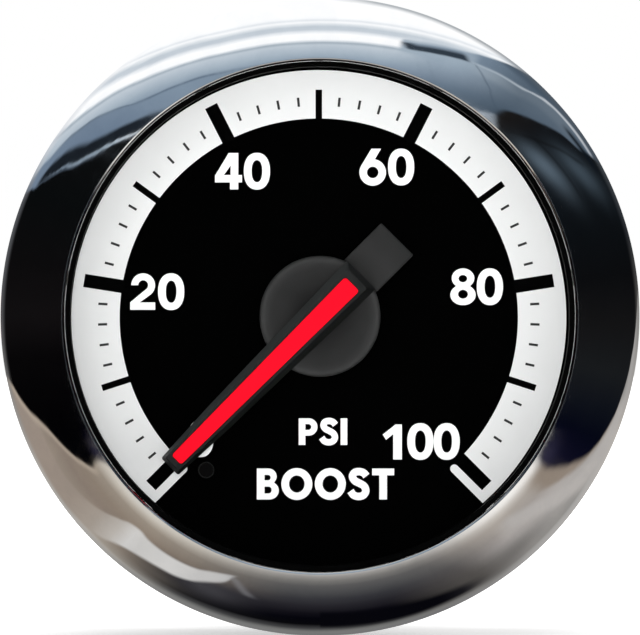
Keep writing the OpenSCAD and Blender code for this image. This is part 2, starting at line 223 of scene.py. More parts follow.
# ---------------------------------------------------------------- node helper
class Nodes:
    def __init__(self, tree):
        self.t = tree

    def put(self, sock, v):
        if isinstance(v, bpy.types.NodeSocket):
            self.t.links.new(v, sock)
        elif isinstance(v, (tuple, list)) and len(v) == 3 and sock.type == "RGBA":
            sock.default_value = (v[0], v[1], v[2], 1)
        else:
            sock.default_value = v

    def node(self, kind, **kw):
        n = self.t.nodes.new(kind)
        for k, v in kw.items():
            setattr(n, k, v)
        return n

    def m(self, op, a, b=None, c=None, clamp=False):
        n = self.node("ShaderNodeMath", operation=op, use_clamp=clamp)
        for i, v in enumerate((a, b, c)):
            if v is not None:
                self.put(n.inputs[i], v)
        return n.outputs[0]

    def add(self, a, b):
        return self.m("ADD", a, b)

    def sub(self, a, b):
        return self.m("SUBTRACT", a, b)

    def mul(self, a, b):
        return self.m("MULTIPLY", a, b)

    def step(self, x, e0, e1, t0=0.0, t1=1.0, kind="SMOOTHSTEP"):
        n = self.node("ShaderNodeMapRange", interpolation_type=kind, clamp=True)
        self.put(n.inputs[0], x)
        self.put(n.inputs[1], e0)
        self.put(n.inputs[2], e1)
        self.put(n.inputs[3], t0)
        self.put(n.inputs[4], t1)
        return n.outputs[0]

    def band(self, x, lo, hi, soft):
        """1 between lo and hi, falling off over soft on each side."""
        return self.mul(self.step(self.sub(x, lo), -soft, soft), self.step(self.sub(x, hi), soft, -soft))

    def mixc(self, a, b, f):
        n = self.node("ShaderNodeMix", data_type="RGBA")
        self.put(n.inputs[0], f)
        self.put(n.inputs[6], a)
        self.put(n.inputs[7], b)
        return n.outputs[2]

    def mixf(self, a, b, f):
        n = self.node("ShaderNodeMix", data_type="FLOAT")
        self.put(n.inputs[0], f)
        self.put(n.inputs[2], a)
        self.put(n.inputs[3], b)
        return n.outputs[0]

    def ramp(self, x, lo, hi, stops):
        n = self.node("ShaderNodeValToRGB")
        f = self.step(x, lo, hi, kind="LINEAR")
        self.t.links.new(f, n.inputs[0])
        el = n.color_ramp.elements
        while len(el) > 1:
            el.remove(el[-1])
        first = True
        for at, c in stops:
            p = (at - lo) / (hi - lo)
            if first:
                el[0].position = p
                el[0].color = lin(c)
                first = False
            else:
                e = el.new(p)
                e.color = lin(c)
        return n.outputs[0]

    def curve(self, x, pts):
        """A smooth line through a few (x, y) points."""
        xs = [a for a, _ in pts]
        ys = [b for _, b in pts]
        x0, x1, y0, y1 = min(xs), max(xs), min(ys), max(ys)
        if y1 - y0 < 1e-6:
            y1 = y0 + 1e-3
        n = self.node("ShaderNodeFloatCurve")
        c = n.mapping.curves[0]
        loc = [((a - x0) / (x1 - x0), (b - y0) / (y1 - y0)) for a, b in sorted(pts)]
        c.points[0].location = loc[0]
        c.points[1].location = loc[-1]
        for p in loc[1:-1]:
            c.points.new(*p)
        n.mapping.update()
        self.t.links.new(self.step(x, x0, x1, kind="LINEAR"), n.inputs["Value"])
        return self.step(n.outputs[0], 0.0, 1.0, y0, y1, kind="LINEAR")

    def noise(self, vec, scale, detail=3.0, rough=0.5, distortion=0.0):
        n = self.node("ShaderNodeTexNoise")
        if vec is not None:
            self.t.links.new(vec, n.inputs["Vector"])
        n.inputs["Scale"].default_value = scale
        n.inputs["Detail"].default_value = detail
        n.inputs["Roughness"].default_value = rough
        n.inputs["Distortion"].default_value = distortion
        return n.outputs[0]


def material(name):
    mat = bpy.data.materials.new(name)
    mat.use_nodes = True
    nt = mat.node_tree
    nt.nodes.clear()
    g = Nodes(nt)
    out = g.node("ShaderNodeOutputMaterial")
    p = g.node("ShaderNodeBsdfPrincipled")
    nt.links.new(p.outputs[0], out.inputs[0])
    tc = g.node("ShaderNodeTexCoord")
    return mat, g, p, tc.outputs["Object"], out


def bump(g, p, height, dist, strength=1.0, normal=None):
    b = g.node("ShaderNodeBump")
    b.inputs["Strength"].default_value = strength
    b.inputs["Distance"].default_value = dist
    g.t.links.new(height, b.inputs["Height"])
    if normal is not None:
        g.t.links.new(normal, b.inputs["Normal"])
    g.t.links.new(b.outputs[0], p.inputs["Normal"])
    return b.outputs[0]


def scaled(g, vec, s):
    n = g.node("ShaderNodeMapping")
    g.t.links.new(vec, n.inputs[0])
    n.inputs["Scale"].default_value = s
    return n.outputs[0]


def plastic(name, color, rough=0.5, grain=9000.0, grain_mm=0.006, spec=0.4, vary=0.12, wear=0.0, blotch=180.0):
    """Moulded plastic: fine eroded grain, faint flow marks in the tone, uneven gloss."""
    mat, g, p, co, _ = material(name)
    fine = g.noise(co, grain, 4.0, 0.65)
    broad = g.noise(co, blotch, 3.0, 0.55, 0.6)
    c = lin(color)
    dark = tuple(v * (1 - vary) for v in c[:3])
    light = tuple(v * (1 + vary) + wear for v in c[:3])
    t = g.add(g.mul(broad, 0.7), g.mul(fine, 0.3))
    g.put(p.inputs["Base Color"], g.mixc(dark, light, g.step(t, 0.3, 0.7)))
    g.put(p.inputs["Roughness"], g.step(g.add(g.mul(fine, 0.5), g.mul(broad, 0.5)), 0.3, 0.7, rough - 0.07, rough + 0.08))
    p.inputs["Specular IOR Level"].default_value = spec
    bump(g, p, fine, grain_mm * 0.001, 1.0)
    return mat


def metal(name, color, rough=0.3, brush=(1, 1, 1), scale=2500.0, vary=0.1, grain_mm=0.003, stain=0.0, blotch=250.0):
    """Plated or drawn metal: fine directional grain with uneven gloss."""
    mat, g, p, co, _ = material(name)
    sv = scaled(g, co, brush)
    fine = g.noise(sv, scale, 4.0, 0.7)
    broad = g.noise(co, blotch, 4.0, 0.6, 0.4)
    c = lin(color)
    dark = tuple(max(0.0, v * (1 - vary) - stain) for v in c[:3])
    light = tuple(min(1.0, v * (1 + vary * 0.6)) for v in c[:3])
    t = g.add(g.mul(broad, 0.6), g.mul(fine, 0.4))
    g.put(p.inputs["Base Color"], g.mixc(dark, light, g.step(t, 0.32, 0.66)))
    p.inputs["Metallic"].default_value = 1.0
    g.put(p.inputs["Roughness"], g.step(g.add(g.mul(fine, 0.6), g.mul(broad, 0.4)), 0.3, 0.7, max(0.04, rough - 0.08), rough + 0.1))
    bump(g, p, fine, grain_mm * 0.001, 1.0)
    return mat


def ink(name, color, rough=0.55, spec=0.05, grain_mm=0.0015, vary=0.02):
    """Screen-printed ink: nearly even tone with the mesh's faint texture."""
    mat, g, p, co, _ = material(name)
    fine = g.noise(co, 14000.0, 2.0, 0.6)
    broad = g.noise(co, 320.0, 2.0, 0.5)
    c = lin(color)
    a = tuple(v * (1 - vary) for v in c[:3])
    b = tuple(min(1.0, v * (1 + vary)) for v in c[:3])
    g.put(p.inputs["Base Color"], g.mixc(a, b, g.step(g.add(g.mul(broad, 0.6), g.mul(fine, 0.4)), 0.35, 0.65)))
    g.put(p.inputs["Roughness"], g.step(fine, 0.3, 0.7, rough - 0.05, rough + 0.05))
    p.inputs["Specular IOR Level"].default_value = spec
    bump(g, p, fine, grain_mm * 0.001, 0.8)
    return mat


# ---------------------------------------------------------------- materials
def chrome_material():
    mat, g, p, co, _ = material("bezel_chrome")
    # polish haze, faint wiping marks and the slow waviness of a plated pressing
    wave = g.noise(co, 95.0, 2.0, 0.5)
    haze = g.noise(co, 420.0, 4.0, 0.6, 0.5)
    marks = g.noise(scaled(g, co, (1.0, 1.0, 7.0)), 2600.0, 3.0, 0.7)
    # painted shade: the base colour is darkened on the tight turn at the lip, less so towards the bottom of the ring
    sep = g.node("ShaderNodeSeparateXYZ")
    g.t.links.new(co, sep.inputs[0])
    x, z = sep.outputs[0], sep.outputs[2]
    r = g.m("SQRT", g.add(g.mul(x, x), g.mul(z, z)))
    plated = g.mixc((0.86, 0.868, 0.88), (0.9, 0.905, 0.912), g.step(haze, 0.35, 0.65))
    # painted shade on the lip: near black at the top of the ring, grey at the bottom
    lip_painted_shade = g.mixc((0.07, 0.072, 0.075), (0.36, 0.355, 0.35), g.step(z, -0.015, -0.0215))
    g.put(p.inputs["Base Color"], g.mixc(lip_painted_shade, plated, g.step(r, 0.02391, 0.02413)))
    p.inputs["Metallic"].default_value = 1.0
    g.put(p.inputs["Roughness"], g.add(g.step(haze, 0.35, 0.7, 0.022, 0.05), g.step(marks, 0.6, 0.8, 0.0, 0.02)))
    bump(g, p, wave, 0.000012, 0.55)
    return mat


def glass_material():
    mat = bpy.data.materials.new("lens_glass")
    mat.use_nodes = True
    nt = mat.node_tree
    nt.nodes.clear()
    g = Nodes(nt)
    out = g.node("ShaderNodeOutputMaterial")
    tr = g.node("ShaderNodeBsdfTransparent")
    tr.inputs[0].default_value = (0.995, 0.998, 0.997, 1)
    gl = g.node("ShaderNodeBsdfGlossy")
    tc = g.node("ShaderNodeTexCoord")
    smear = g.noise(tc.outputs["Object"], 160.0, 4.0, 0.6, 0.8)
    g.put(gl.inputs["Roughness"], g.step(smear, 0.4, 0.7, 0.01, 0.05))
    # the same share from both faces, so that light leaves the pane as it came in
    fr = g.node("ShaderNodeLayerWeight")
    fr.inputs[0].default_value = 0.5
    f = g.mul(g.m("POWER", fr.outputs["Facing"], 5.0), 0.8)
    mix = g.node("ShaderNodeMixShader")
    nt.links.new(f, mix.inputs[0])
    nt.links.new(tr.outputs[0], mix.inputs[1])
    nt.links.new(gl.outputs[0], mix.inputs[2])
    nt.links.new(mix.outputs[0], out.inputs[0])
    return mat


def clear_plastic():
    mat, g, p, co, _ = material("clear_plastic")
    n = g.noise(co, 300.0, 3.0, 0.5)
    g.put(p.inputs["Base Color"], g.mixc((0.78, 0.85, 0.88), (0.9, 0.95, 0.96), n))
    g.put(p.inputs["Roughness"], g.step(n, 0.3, 0.7, 0.08, 0.2))
    p.inputs["Alpha"].default_value = 0.45
    bump(g, p, n, 0.00001, 0.5)
    return mat


def board_material():
    mat, g, p, co, _ = material("board")
    # solder mask over tracks that run square to each other
    sep = g.node("ShaderNodeSeparateXYZ")
    g.t.links.new(co, sep.inputs[0])
    x, z = sep.outputs[0], sep.outputs[2]
    patch = g.noise(co, 210.0, 1.0, 0.4)
    tx = g.m("SINE", g.mul(x, 2 * PI / 0.0011))
    tz = g.m("SINE", g.mul(z, 2 * PI / 0.0011))
    pick = g.step(patch, 0.49, 0.51)
    track = g.step(g.mixf(tx, tz, pick), 0.1, 0.35)
    keep = g.step(g.noise(co, 330.0, 0.0, 0.5), 0.5, 0.53)
    track = g.mul(track, keep)
    fine = g.noise(co, 9000.0, 3.0, 0.6)
    g.put(p.inputs["Base Color"], g.mixc((0.008, 0.075, 0.03), (0.022, 0.17, 0.07), track))
    g.put(p.inputs["Roughness"], g.step(fine, 0.3, 0.7, 0.22, 0.36))
    bump(g, p, g.add(g.mul(track, 1.0), g.mul(fine, 0.08)), 0.00003, 0.7)
    return mat


def wire_material():
    mat, g, p, co, _ = material("coil_wire")
    sep = g.node("ShaderNodeSeparateXYZ")
    g.t.links.new(co, sep.inputs[0])
    turns = g.m("SINE", g.mul(sep.outputs[2], 2 * PI / 0.00013))
    tint = g.noise(co, 900.0, 2.0, 0.5)
    g.put(p.inputs["Base Color"], g.mixc((0.33, 0.1, 0.03), (0.72, 0.3, 0.1), g.step(g.add(turns, g.mul(tint, 0.8)), -0.8, 1.5)))
    p.inputs["Metallic"].default_value = 0.9
    g.put(p.inputs["Roughness"], g.step(tint, 0.3, 0.7, 0.25, 0.4))
    bump(g, p, turns, 0.00004, 0.9)
    return mat


def smoked_material():
    mat, g, p, co, _ = material("warning_window")
    n = g.noise(co, 3000.0, 2.0, 0.5)
    g.put(p.inputs["Base Color"], g.mixc((0.0012, 0.001, 0.001), (0.0022, 0.0018, 0.0018), n))
    g.put(p.inputs["Roughness"], g.step(n, 0.3, 0.7, 0.3, 0.4))
    p.inputs["Specular IOR Level"].default_value = 0.1
    bump(g, p, n, 0.000004, 0.5)
    return mat


def floor_material():
    mat, g, p, co, _ = material("pale_floor")
    n = g.noise(co, 30.0, 4.0, 0.5)
    g.put(p.inputs["Base Color"], g.mixc((0.86, 0.86, 0.855), (0.9, 0.9, 0.895), n))
    g.put(p.inputs["Roughness"], g.step(n, 0.3, 0.7, 0.75, 0.85))
    p.inputs["Specular IOR Level"].default_value = 0.1
    # painted light: the floor glows by its own emission, weaker near the part and stronger away from it
    sep = g.node("ShaderNodeSeparateXYZ")
    g.t.links.new(co, sep.inputs[0])
    far = g.m("SQRT", g.add(g.mul(sep.outputs[0], sep.outputs[0]), g.mul(sep.outputs[1], sep.outputs[1])))
    p.inputs["Emission Color"].default_value = (1, 1, 1, 1)
    g.put(p.inputs["Emission Strength"], g.step(far, 0.02, 0.3, 0.5, 1.0))
    return mat


def hub_material():
    """Dark grey moulding whose dished face has painted shade, darkest at the centre, and a painted highlight near the
    rim.
    """
    mat, g, p, co, _ = material("hub_grey")
    sep = g.node("ShaderNodeSeparateXYZ")
    g.t.links.new(co, sep.inputs[0])
    x, z = sep.outputs[0], sep.outputs[2]
    r = g.m("SQRT", g.add(g.mul(x, x), g.mul(z, z)))
    fine = g.noise(co, 9000.0, 4.0, 0.65)
    broad = g.noise(co, 260.0, 3.0, 0.5, 0.5)
    # painted shade and highlight: the tone rises from the dark centre to a paler ring near the rim, then drops at the
    # very edge
    tone = g.ramp(r, 0.0, 0.0058, [(0.0, (29, 29, 29)), (0.0022, (33, 33, 33)), (0.0034, (39, 39, 39)), (0.0045, (42, 42, 42)),
                                   (0.0050, (48, 48, 48)), (0.0053, (55, 55, 55)), (0.0055, (52, 52, 52)), (0.0058, (38, 38, 38))])
    dark = g.node("ShaderNodeMix", data_type="RGBA", blend_type="MULTIPLY")
    dark.inputs[0].default_value = 1.0
    g.t.links.new(tone, dark.inputs[6])
    g.t.links.new(g.mixc((0.9, 0.9, 0.9), (1.1, 1.1, 1.1), g.step(g.add(g.mul(broad, 0.7), g.mul(fine, 0.3)), 0.3, 0.7)), dark.inputs[7])
    g.t.links.new(dark.outputs[2], p.inputs["Base Color"])
    g.put(p.inputs["Roughness"], g.step(fine, 0.3, 0.7, 0.5, 0.62))
    p.inputs["Specular IOR Level"].default_value = 0.08
    bump(g, p, fine, 0.000004, 1.0)
    return mat


def weight_material():
    """Painted weight: even dark grey, with painted shade making it a little darker where it goes under the hub."""
    mat, g, p, co, _ = material("weight_grey")
    sep = g.node("ShaderNodeSeparateXYZ")
    g.t.links.new(co, sep.inputs[0])
    x, z = sep.outputs[0], sep.outputs[2]
    r = g.m("SQRT", g.add(g.mul(x, x), g.mul(z, z)))
    fine = g.noise(co, 10000.0, 4.0, 0.65)
    broad = g.noise(co, 300.0, 3.0, 0.5, 0.5)
    # painted shade: darker in under the hub, palest across the middle of the plate
    tone = g.ramp(r, 0.0, 0.0108, [(0.0, (36, 36, 36)), (0.0054, (39, 39, 39)), (0.0062, (44, 44, 44)), (0.0078, (48, 48, 48)), (0.0092, (44, 44, 44)), (0.0108, (43, 43, 43))])
    dark = g.node("ShaderNodeMix", data_type="RGBA", blend_type="MULTIPLY")
    dark.inputs[0].default_value = 1.0
    g.t.links.new(tone, dark.inputs[6])
    g.t.links.new(g.mixc((0.93, 0.93, 0.93), (1.07, 1.07, 1.07), g.step(g.add(g.mul(broad, 0.7), g.mul(fine, 0.3)), 0.3, 0.7)), dark.inputs[7])
    g.t.links.new(dark.outputs[2], p.inputs["Base Color"])
    g.put(p.inputs["Roughness"], g.step(fine, 0.3, 0.7, 0.5, 0.6))
    p.inputs["Specular IOR Level"].default_value = 0.08
    bump(g, p, fine, 0.000004, 1.0)
    return mat


M = {
    "chrome": chrome_material(),
    "glass": glass_material(),
    "case": plastic("case_plastic", (38, 38, 40), 0.48, 7000.0, 0.012, 0.45, 0.16),
    "rubber": plastic("seal_rubber", (26, 26, 26), 0.75, 5000.0, 0.01, 0.25, 0.15),
    "trim": plastic("trim_plastic", (6, 6, 6), 0.7, 9000.0, 0.004, 0.04, 0.1),
    "dial": ink("dial_face", (1.2, 1.2, 1.2), 0.6, 0.012, 0.0006),
    "warning": smoked_material(),
    "clear": clear_plastic(),
    "white": plastic("white_plastic", (236, 236, 232), 0.45, 8000.0, 0.005, 0.4, 0.03),
    "board": board_material(),
    "led_white": plastic("led_white", (240, 232, 190), 0.3, 6000.0, 0.004, 0.5, 0.08, blotch=2500.0),
    "led_red": plastic("led_red", (214, 70, 60), 0.2, 6000.0, 0.003, 0.5, 0.1, blotch=2500.0),
    "led_amber": plastic("led_amber", (230, 150, 60), 0.2, 6000.0, 0.003, 0.5, 0.1, blotch=2500.0),
    "chip": plastic("chip_plastic", (34, 34, 36), 0.55, 12000.0, 0.006, 0.35, 0.12),
    "can": metal("capacitor_can", (216, 218, 222), 0.28, (1, 0.2, 1), 5000.0, 0.06),
    "crystal": metal("crystal_can", (206, 206, 204), 0.35, (3, 1, 1), 6000.0, 0.08),
    "screw": metal("screw_steel", (190, 190, 186), 0.33, (1, 1, 1), 5000.0, 0.12),
    "connector": plastic("connector_plastic", (36, 36, 38), 0.42, 8000.0, 0.008, 0.45, 0.14),
    "pin": metal("pin_brass", (222, 190, 118), 0.25, (1, 0.15, 1), 9000.0, 0.12),
    "motor": plastic("motor_plastic", (52, 52, 55), 0.5, 9000.0, 0.008, 0.4, 0.12),
    "stator": metal("stator_steel", (160, 163, 168), 0.42, (1, 6, 1), 4000.0, 0.15),
    "bobbin": plastic("bobbin_plastic", (58, 58, 60), 0.5, 9000.0, 0.006, 0.4, 0.12),
    "wire": wire_material(),
    "tin": metal("terminal_tin", (212, 212, 208), 0.36, (1, 0.3, 1), 6000.0, 0.1),
    "axle": metal("axle_steel", (205, 206, 210), 0.16, (6, 0.3, 6), 5000.0, 0.08),
    "stud": metal("stud_steel", (196, 196, 190), 0.3, (1, 1, 1), 4200.0, 0.16, stain=0.01),
    "arm": plastic("pointer_black", (29, 30, 30), 0.5, 9000.0, 0.004, 0.1, 0.08),
    "stripe": plastic("pointer_red", (255, 10, 36), 0.4, 9000.0, 0.0015, 0.05, 0.02),
    "hub": hub_material(),
    "weight": weight_material(),
    "gear": plastic("gear_plastic", (236, 231, 214), 0.4, 7000.0, 0.004, 0.45, 0.04),
    "magnet": metal("magnet", (88, 89, 92), 0.55, (1, 1, 1), 6000.0, 0.2),
    "clamp": metal("clamp_steel", (200, 203, 206), 0.3, (0.35, 1, 1), 3000.0, 0.14, 0.004, 0.01),
    "washer": metal("washer_steel", (176, 177, 176), 0.32, (1, 1, 1), 4200.0, 0.16),
    "nut": metal("nut_brass", (220, 186, 112), 0.24, (1, 3, 1), 4200.0, 0.14, 0.003, 0.01),
    "band": ink("scale_light", (229, 229, 229), 0.5, 0.03, 0.0012, 0.008),
    "rim_grey": plastic("lamp_rim", (27, 27, 27), 0.5, 9000.0, 0.003, 0.1, 0.06),
    "white_ink": ink("numeral_white", (250, 250, 250), 0.5, 0.03, 0.0012, 0.01),
    "black_ink": ink("tick_black", (3, 3, 3), 0.6, 0.02, 0.0012, 0.05),
    "grey_ink": ink("tick_grey", (52, 52, 52), 0.6, 0.02, 0.0012, 0.05),
}

SLOT_MAT = {
    "case_plastic": "case", "bezel_chrome": "chrome", "seal_rubber": "rubber", "lens_glass": "glass",
    "trim_plastic": "trim", "dial_face": "dial", "warning_window": "warning", "clear_plastic": "clear",
    "white_plastic": "white", "board": "board", "led_white": "led_white", "led_red": "led_red",
    "led_amber": "led_amber", "chip_plastic": "chip", "capacitor_can": "can", "crystal_can": "crystal",
    "screw_steel": "screw", "connector_plastic": "connector", "pin_brass": "pin", "motor_plastic": "motor",
    "stator_steel": "stator", "bobbin_plastic": "bobbin", "coil_wire": "wire", "terminal_tin": "tin",
    "axle_steel": "axle", "stud_steel": "stud", "pointer_black": "arm", "pointer_red": "stripe",
    "hub_grey": "hub", "weight_grey": "weight", "gear_plastic": "gear", "magnet": "magnet",
    "clamp_steel": "clamp", "washer_steel": "washer", "nut_brass": "nut",
}
node_slot = {s["node"]: s["material_slot"] for s in frame["record"]["subparts"]}
for n, o in NODES.items():
    o.data.materials.clear()
    o.data.materials.append(M[SLOT_MAT[node_slot[n]]])


def refine(node, name, offset_mm, segments=2, limit=35, angle=30):
    """The node's own shape with its edges broken, as a new piece that stands for it."""
    src = NODES[node]
    bm = bmesh.new()
    bm.from_mesh(src.data)
    bmesh.ops.remove_doubles(bm, verts=bm.verts, dist=2e-7)
    bmesh.ops.dissolve_limit(bm, angle_limit=math.radians(0.4), verts=bm.verts, edges=bm.edges)
    edges = [e for e in bm.edges if len(e.link_faces) == 2 and e.calc_face_angle(0) > math.radians(limit)]
    if offset_mm > 0:
        bmesh.ops.bevel(bm, geom=edges, offset=offset_mm * 0.001, offset_type="OFFSET", segments=segments,
                        profile=0.5, affect="EDGES", clamp_overlap=True)
    bmesh.ops.recalc_face_normals(bm, faces=bm.faces)
    me = bpy.data.meshes.new(name)
    bm.to_mesh(me)
    bm.free()
    obj = bpy.data.objects.new(name, me)
    scene.collection.objects.link(obj)
    finish_mesh(obj, angle)
    me.materials.append(M[SLOT_MAT[node_slot[node]]])
    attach(obj, src["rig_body"])
    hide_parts(node)
    return obj


# ---------------------------------------------------------------- bezel
def bezel():
    ro, rc, rl, low, top = 30.0, 24.05, 23.85, 1.0, 5.2
    p = [(24.1, 3.5), (27.4, 3.5), (27.4, 0.5), (26.3, 0.5), (26.3, 0.0)]
    # rolled rear edge
    p += [(29.25, 0.0)]
    for i in range(1, 8):
        a = math.radians(-90 + i * 90 / 8)
        p.append((29.25 + 0.75 * math.cos(a), 0.7 + 0.7 * math.sin(a)))
    n = 64
    for i in range(n + 1):
        a = math.radians(i * 90 / n)
        p.append((rc + (ro - rc) * math.cos(a), low + (top - low) * math.sin(a)))
    n = 16
    for i in range(1, n + 1):
        a = math.radians(90 + i * 90 / n)
        p.append((rc + (rc - rl) * math.cos(a), top - 0.7 + 0.7 * math.sin(a)))
    v, f = lathe_data(p, 384)
    return make("bezel_ring", v, f, "case", M["chrome"], ("bezel",), 40)


bezel()


# ---------------------------------------------------------------- dial printing
def pol(r, deg):
    """Dial angle, clockwise from the top."""
    a = math.radians(deg)
    return (PRINT_C[0] + PRINT_S * r * math.sin(a), PRINT_C[1] + PRINT_S * r * math.cos(a))


def rot_end(u, v, deg):
    """u outward along the mark at deg, v across it, clockwise."""
    a = math.radians(deg)
    return (PRINT_C[0] + PRINT_S * (u * math.sin(a) + v * math.cos(a)), PRINT_C[1] + PRINT_S * (u * math.cos(a) - v * math.sin(a)))


BAND_IN, BAND_OUT = 18.70, 23.24
PRINT_Z = -2.2
INK = 0.012


def band_loop():
    # the right end first: strip beside the last mark, with a round inner end
    h = 0.63
    s0, s1, su = 0.63, 1.43, 18.64
    rs = (s1 - s0) / 2
    right = []
    a_out = math.degrees(math.asin(s1 / BAND_OUT))
    right.append(pol(BAND_OUT, 135 + a_out))
    for i in range(0, 13):
        a = math.radians(-90 + 180 - i * 15)  # from +v side round the inner end to the -v side
        right.append(rot_end(su + rs - rs * math.cos(math.radians(-90 + i * 15)), (s0 + s1) / 2 + rs * math.sin(math.radians(90 - i * 15)), 135))
    right.append(rot_end(22.3, s0, 135))
    right.append(rot_end(22.3, -h, 135))
    right.append(rot_end(math.sqrt(BAND_IN ** 2 - h * h), -h, 135))
    a_in = 135 - math.degrees(math.asin(h / BAND_IN))
    loop = list(right)
    n = 220
    for i in range(1, n):
        loop.append(pol(BAND_IN, a_in - 2 * a_in * i / n))
    left = [(2 * PRINT_C[0] - x, y) for x, y in reversed(right)]
    loop += left
    n = 260
    a0 = -(135 + a_out)
    for i in range(1, n):
        loop.append(pol(BAND_OUT, a0 + 2 * (135 + a_out) * i / n))
    return loop


v, f = plate_data([band_loop()], PRINT_Z - 0.004, PRINT_Z + INK)
make("dial_scale_band", v, f, "case", M["band"])


def bar(r0, r1, w, deg):
    return [rot_end(r0, -w / 2, deg), rot_end(r1, -w / 2, deg), rot_end(r1, w / 2, deg), rot_end(r0, w / 2, deg)]


major, minor = [], []
for k in range(0, 51):
    deg = -135 + 5.4 * k
    if k % 10 == 0:
        if 0 < k < 50:
            major.append(plate_data([bar(BAND_IN - 0.15, 22.3, 1.25, deg)], PRINT_Z + INK * 0.5, PRINT_Z + INK * 1.8))
    elif k % 5 == 0:
        major.append(plate_data([bar(BAND_IN - 0.15, 21.4, 0.61, deg)], PRINT_Z + INK * 0.5, PRINT_Z + INK * 1.8))
    else:
        minor.append(plate_data([bar(19.88, 20.74, 0.23, deg)], PRINT_Z + INK * 0.5, PRINT_Z + INK * 1.8))
v, f = join(major)
make("dial_main_marks", v, f, "case", M["black_ink"])
v, f = join(minor)
make("dial_fine_marks", v, f, "case", M["grey_ink"])


# numerals, as outlines in photo pixels
def arc(cx, cy, rx, ry, a0, a1, n=24):
    out = []
    for i in range(n + 1):
        a = math.radians(a0 + (a1 - a0) * i / n)
        out.append((cx + rx * math.cos(a), cy + ry * math.sin(a)))
    return out


def superellipse(cx, cy, rx, ry, e=2.25, n=72):
    out = []
    for i in range(n):
        a = 2 * PI * i / n
        c, s = math.cos(a), math.sin(a)
        out.append((cx + rx * math.copysign(abs(c) ** (2 / e), c), cy + ry * math.copysign(abs(s) ** (2 / e), s)))
    return out


def zero(cx, cy):
    return [superellipse(cx, cy, 13.1, 18.4), superellipse(cx, cy, 5.3, 11.0)]


def two(x0, y0):
    """x0, y0: the glyph's left and top."""
    dx, dy = x0 - 130.2, y0 - 273.3
    lp = arc(143.2, 285.2, 11.9, 11.9, 180, 411, 40)
    lp += [(139.8, 302.4), (155.2, 302.4), (155.2, 309.8), (130.2, 309.8), (130.2, 302.3)]
    lp += arc(143.2, 285.2, 4.9, 4.9, 411, 180, 30)
    return [[(x + dx, y + dy) for x, y in lp]]


def four():
    o = [(228.7, 153), (238.3, 153), (238.3, 175), (242, 175), (242, 182.4), (238.3, 182.4), (238.3, 189.4),
         (230, 189.4), (230, 182.4), (215, 182.4), (215, 175.7)]
    return [o, [(230.6, 165.5), (223.9, 175), (230.6, 175)]]


def six():
    cx, cy, r = 372.7, 172.4, 13.3
    o = [(371.4, 148.7), (381.1, 148.7)] + arc(cx, cy, r, r, -80.5, 210.93, 60)
    return [o, arc(cx, cy, 5.7, 5.7, 0, 354, 40)]


def eight():
    cx = 463.0
    ys = [268.4 + (305.1 - 268.4) * (1 - math.cos(PI * i / 60)) / 2 for i in range(61)]

    def half(y):
        w = 0.0
        for cy, rx, ry in ((278.2, 11.3, 9.8), (294.9, 12.7, 10.3)):
            t = (y - cy) / ry
            if abs(t) < 1:
                w = max(w, rx * math.sqrt(1 - t * t))
        return w
    right = [(cx + half(y), y) for y in ys]
    left = [(cx - half(y), y) for y in reversed(ys[1:-1])]
    return [right + left, arc(cx - 0.1, 278.6, 4.3, 3.6, 0, 351, 40), arc(cx, 294.2, 4.9, 4.4, 0, 351, 40)]


def one():
    return [[(395.6, 424.4), (401.9, 424.4), (401.9, 459.5), (393.2, 459.5), (393.2, 434.2), (386.1, 439.8), (382.6, 434.6)]]


glyphs = [
    two(130.2, 273.3), zero(171.15, 291.7),
    four(), zero(256.95, 171.2),
    six(), zero(401.15, 167.0),
    eight(), zero(489.9, 286.7),
    one(), zero(420.35, 441.5), zero(446.65, 441.5),
    zero(200.5, 438.7),
]
v, f = join([plate_data([[px(*q) for q in lp] for lp in gl], PRINT_Z - 0.004, PRINT_Z + INK) for gl in glyphs])
make("dial_numerals", v, f, "case", M["white_ink"])


# generic unit and quantity lettering, drawn here on a cap height of 100 with a stroke of 25
def spline(pts, n=14):
    out = []
    P = [pts[0]] + list(pts) + [pts[-1]]
    for i in range(1, len(P) - 2):
        p0, p1, p2, p3 = (np.array(q, float) for q in P[i - 1:i + 3])
        for k in range(n):
            t = k / n
            out.append(0.5 * ((2 * p1) + (-p0 + p2) * t + (2 * p0 - 5 * p1 + 4 * p2 - p3) * t * t + (-p0 + 3 * p1 - 3 * p2 + p3) * t ** 3))
    out.append(np.array(P[-2], float))
    return out


def stroke(pts, w):
    a, b = [], []
    for i, p in enumerate(pts):
        d = pts[min(i + 1, len(pts) - 1)] - pts[max(i - 1, 0)]
        n = np.array([-d[1], d[0]]) / (np.linalg.norm(d) or 1)
        a.append(tuple(p + n * w / 2))
        b.append(tuple(p - n * w / 2))
    return [a + b[::-1]]


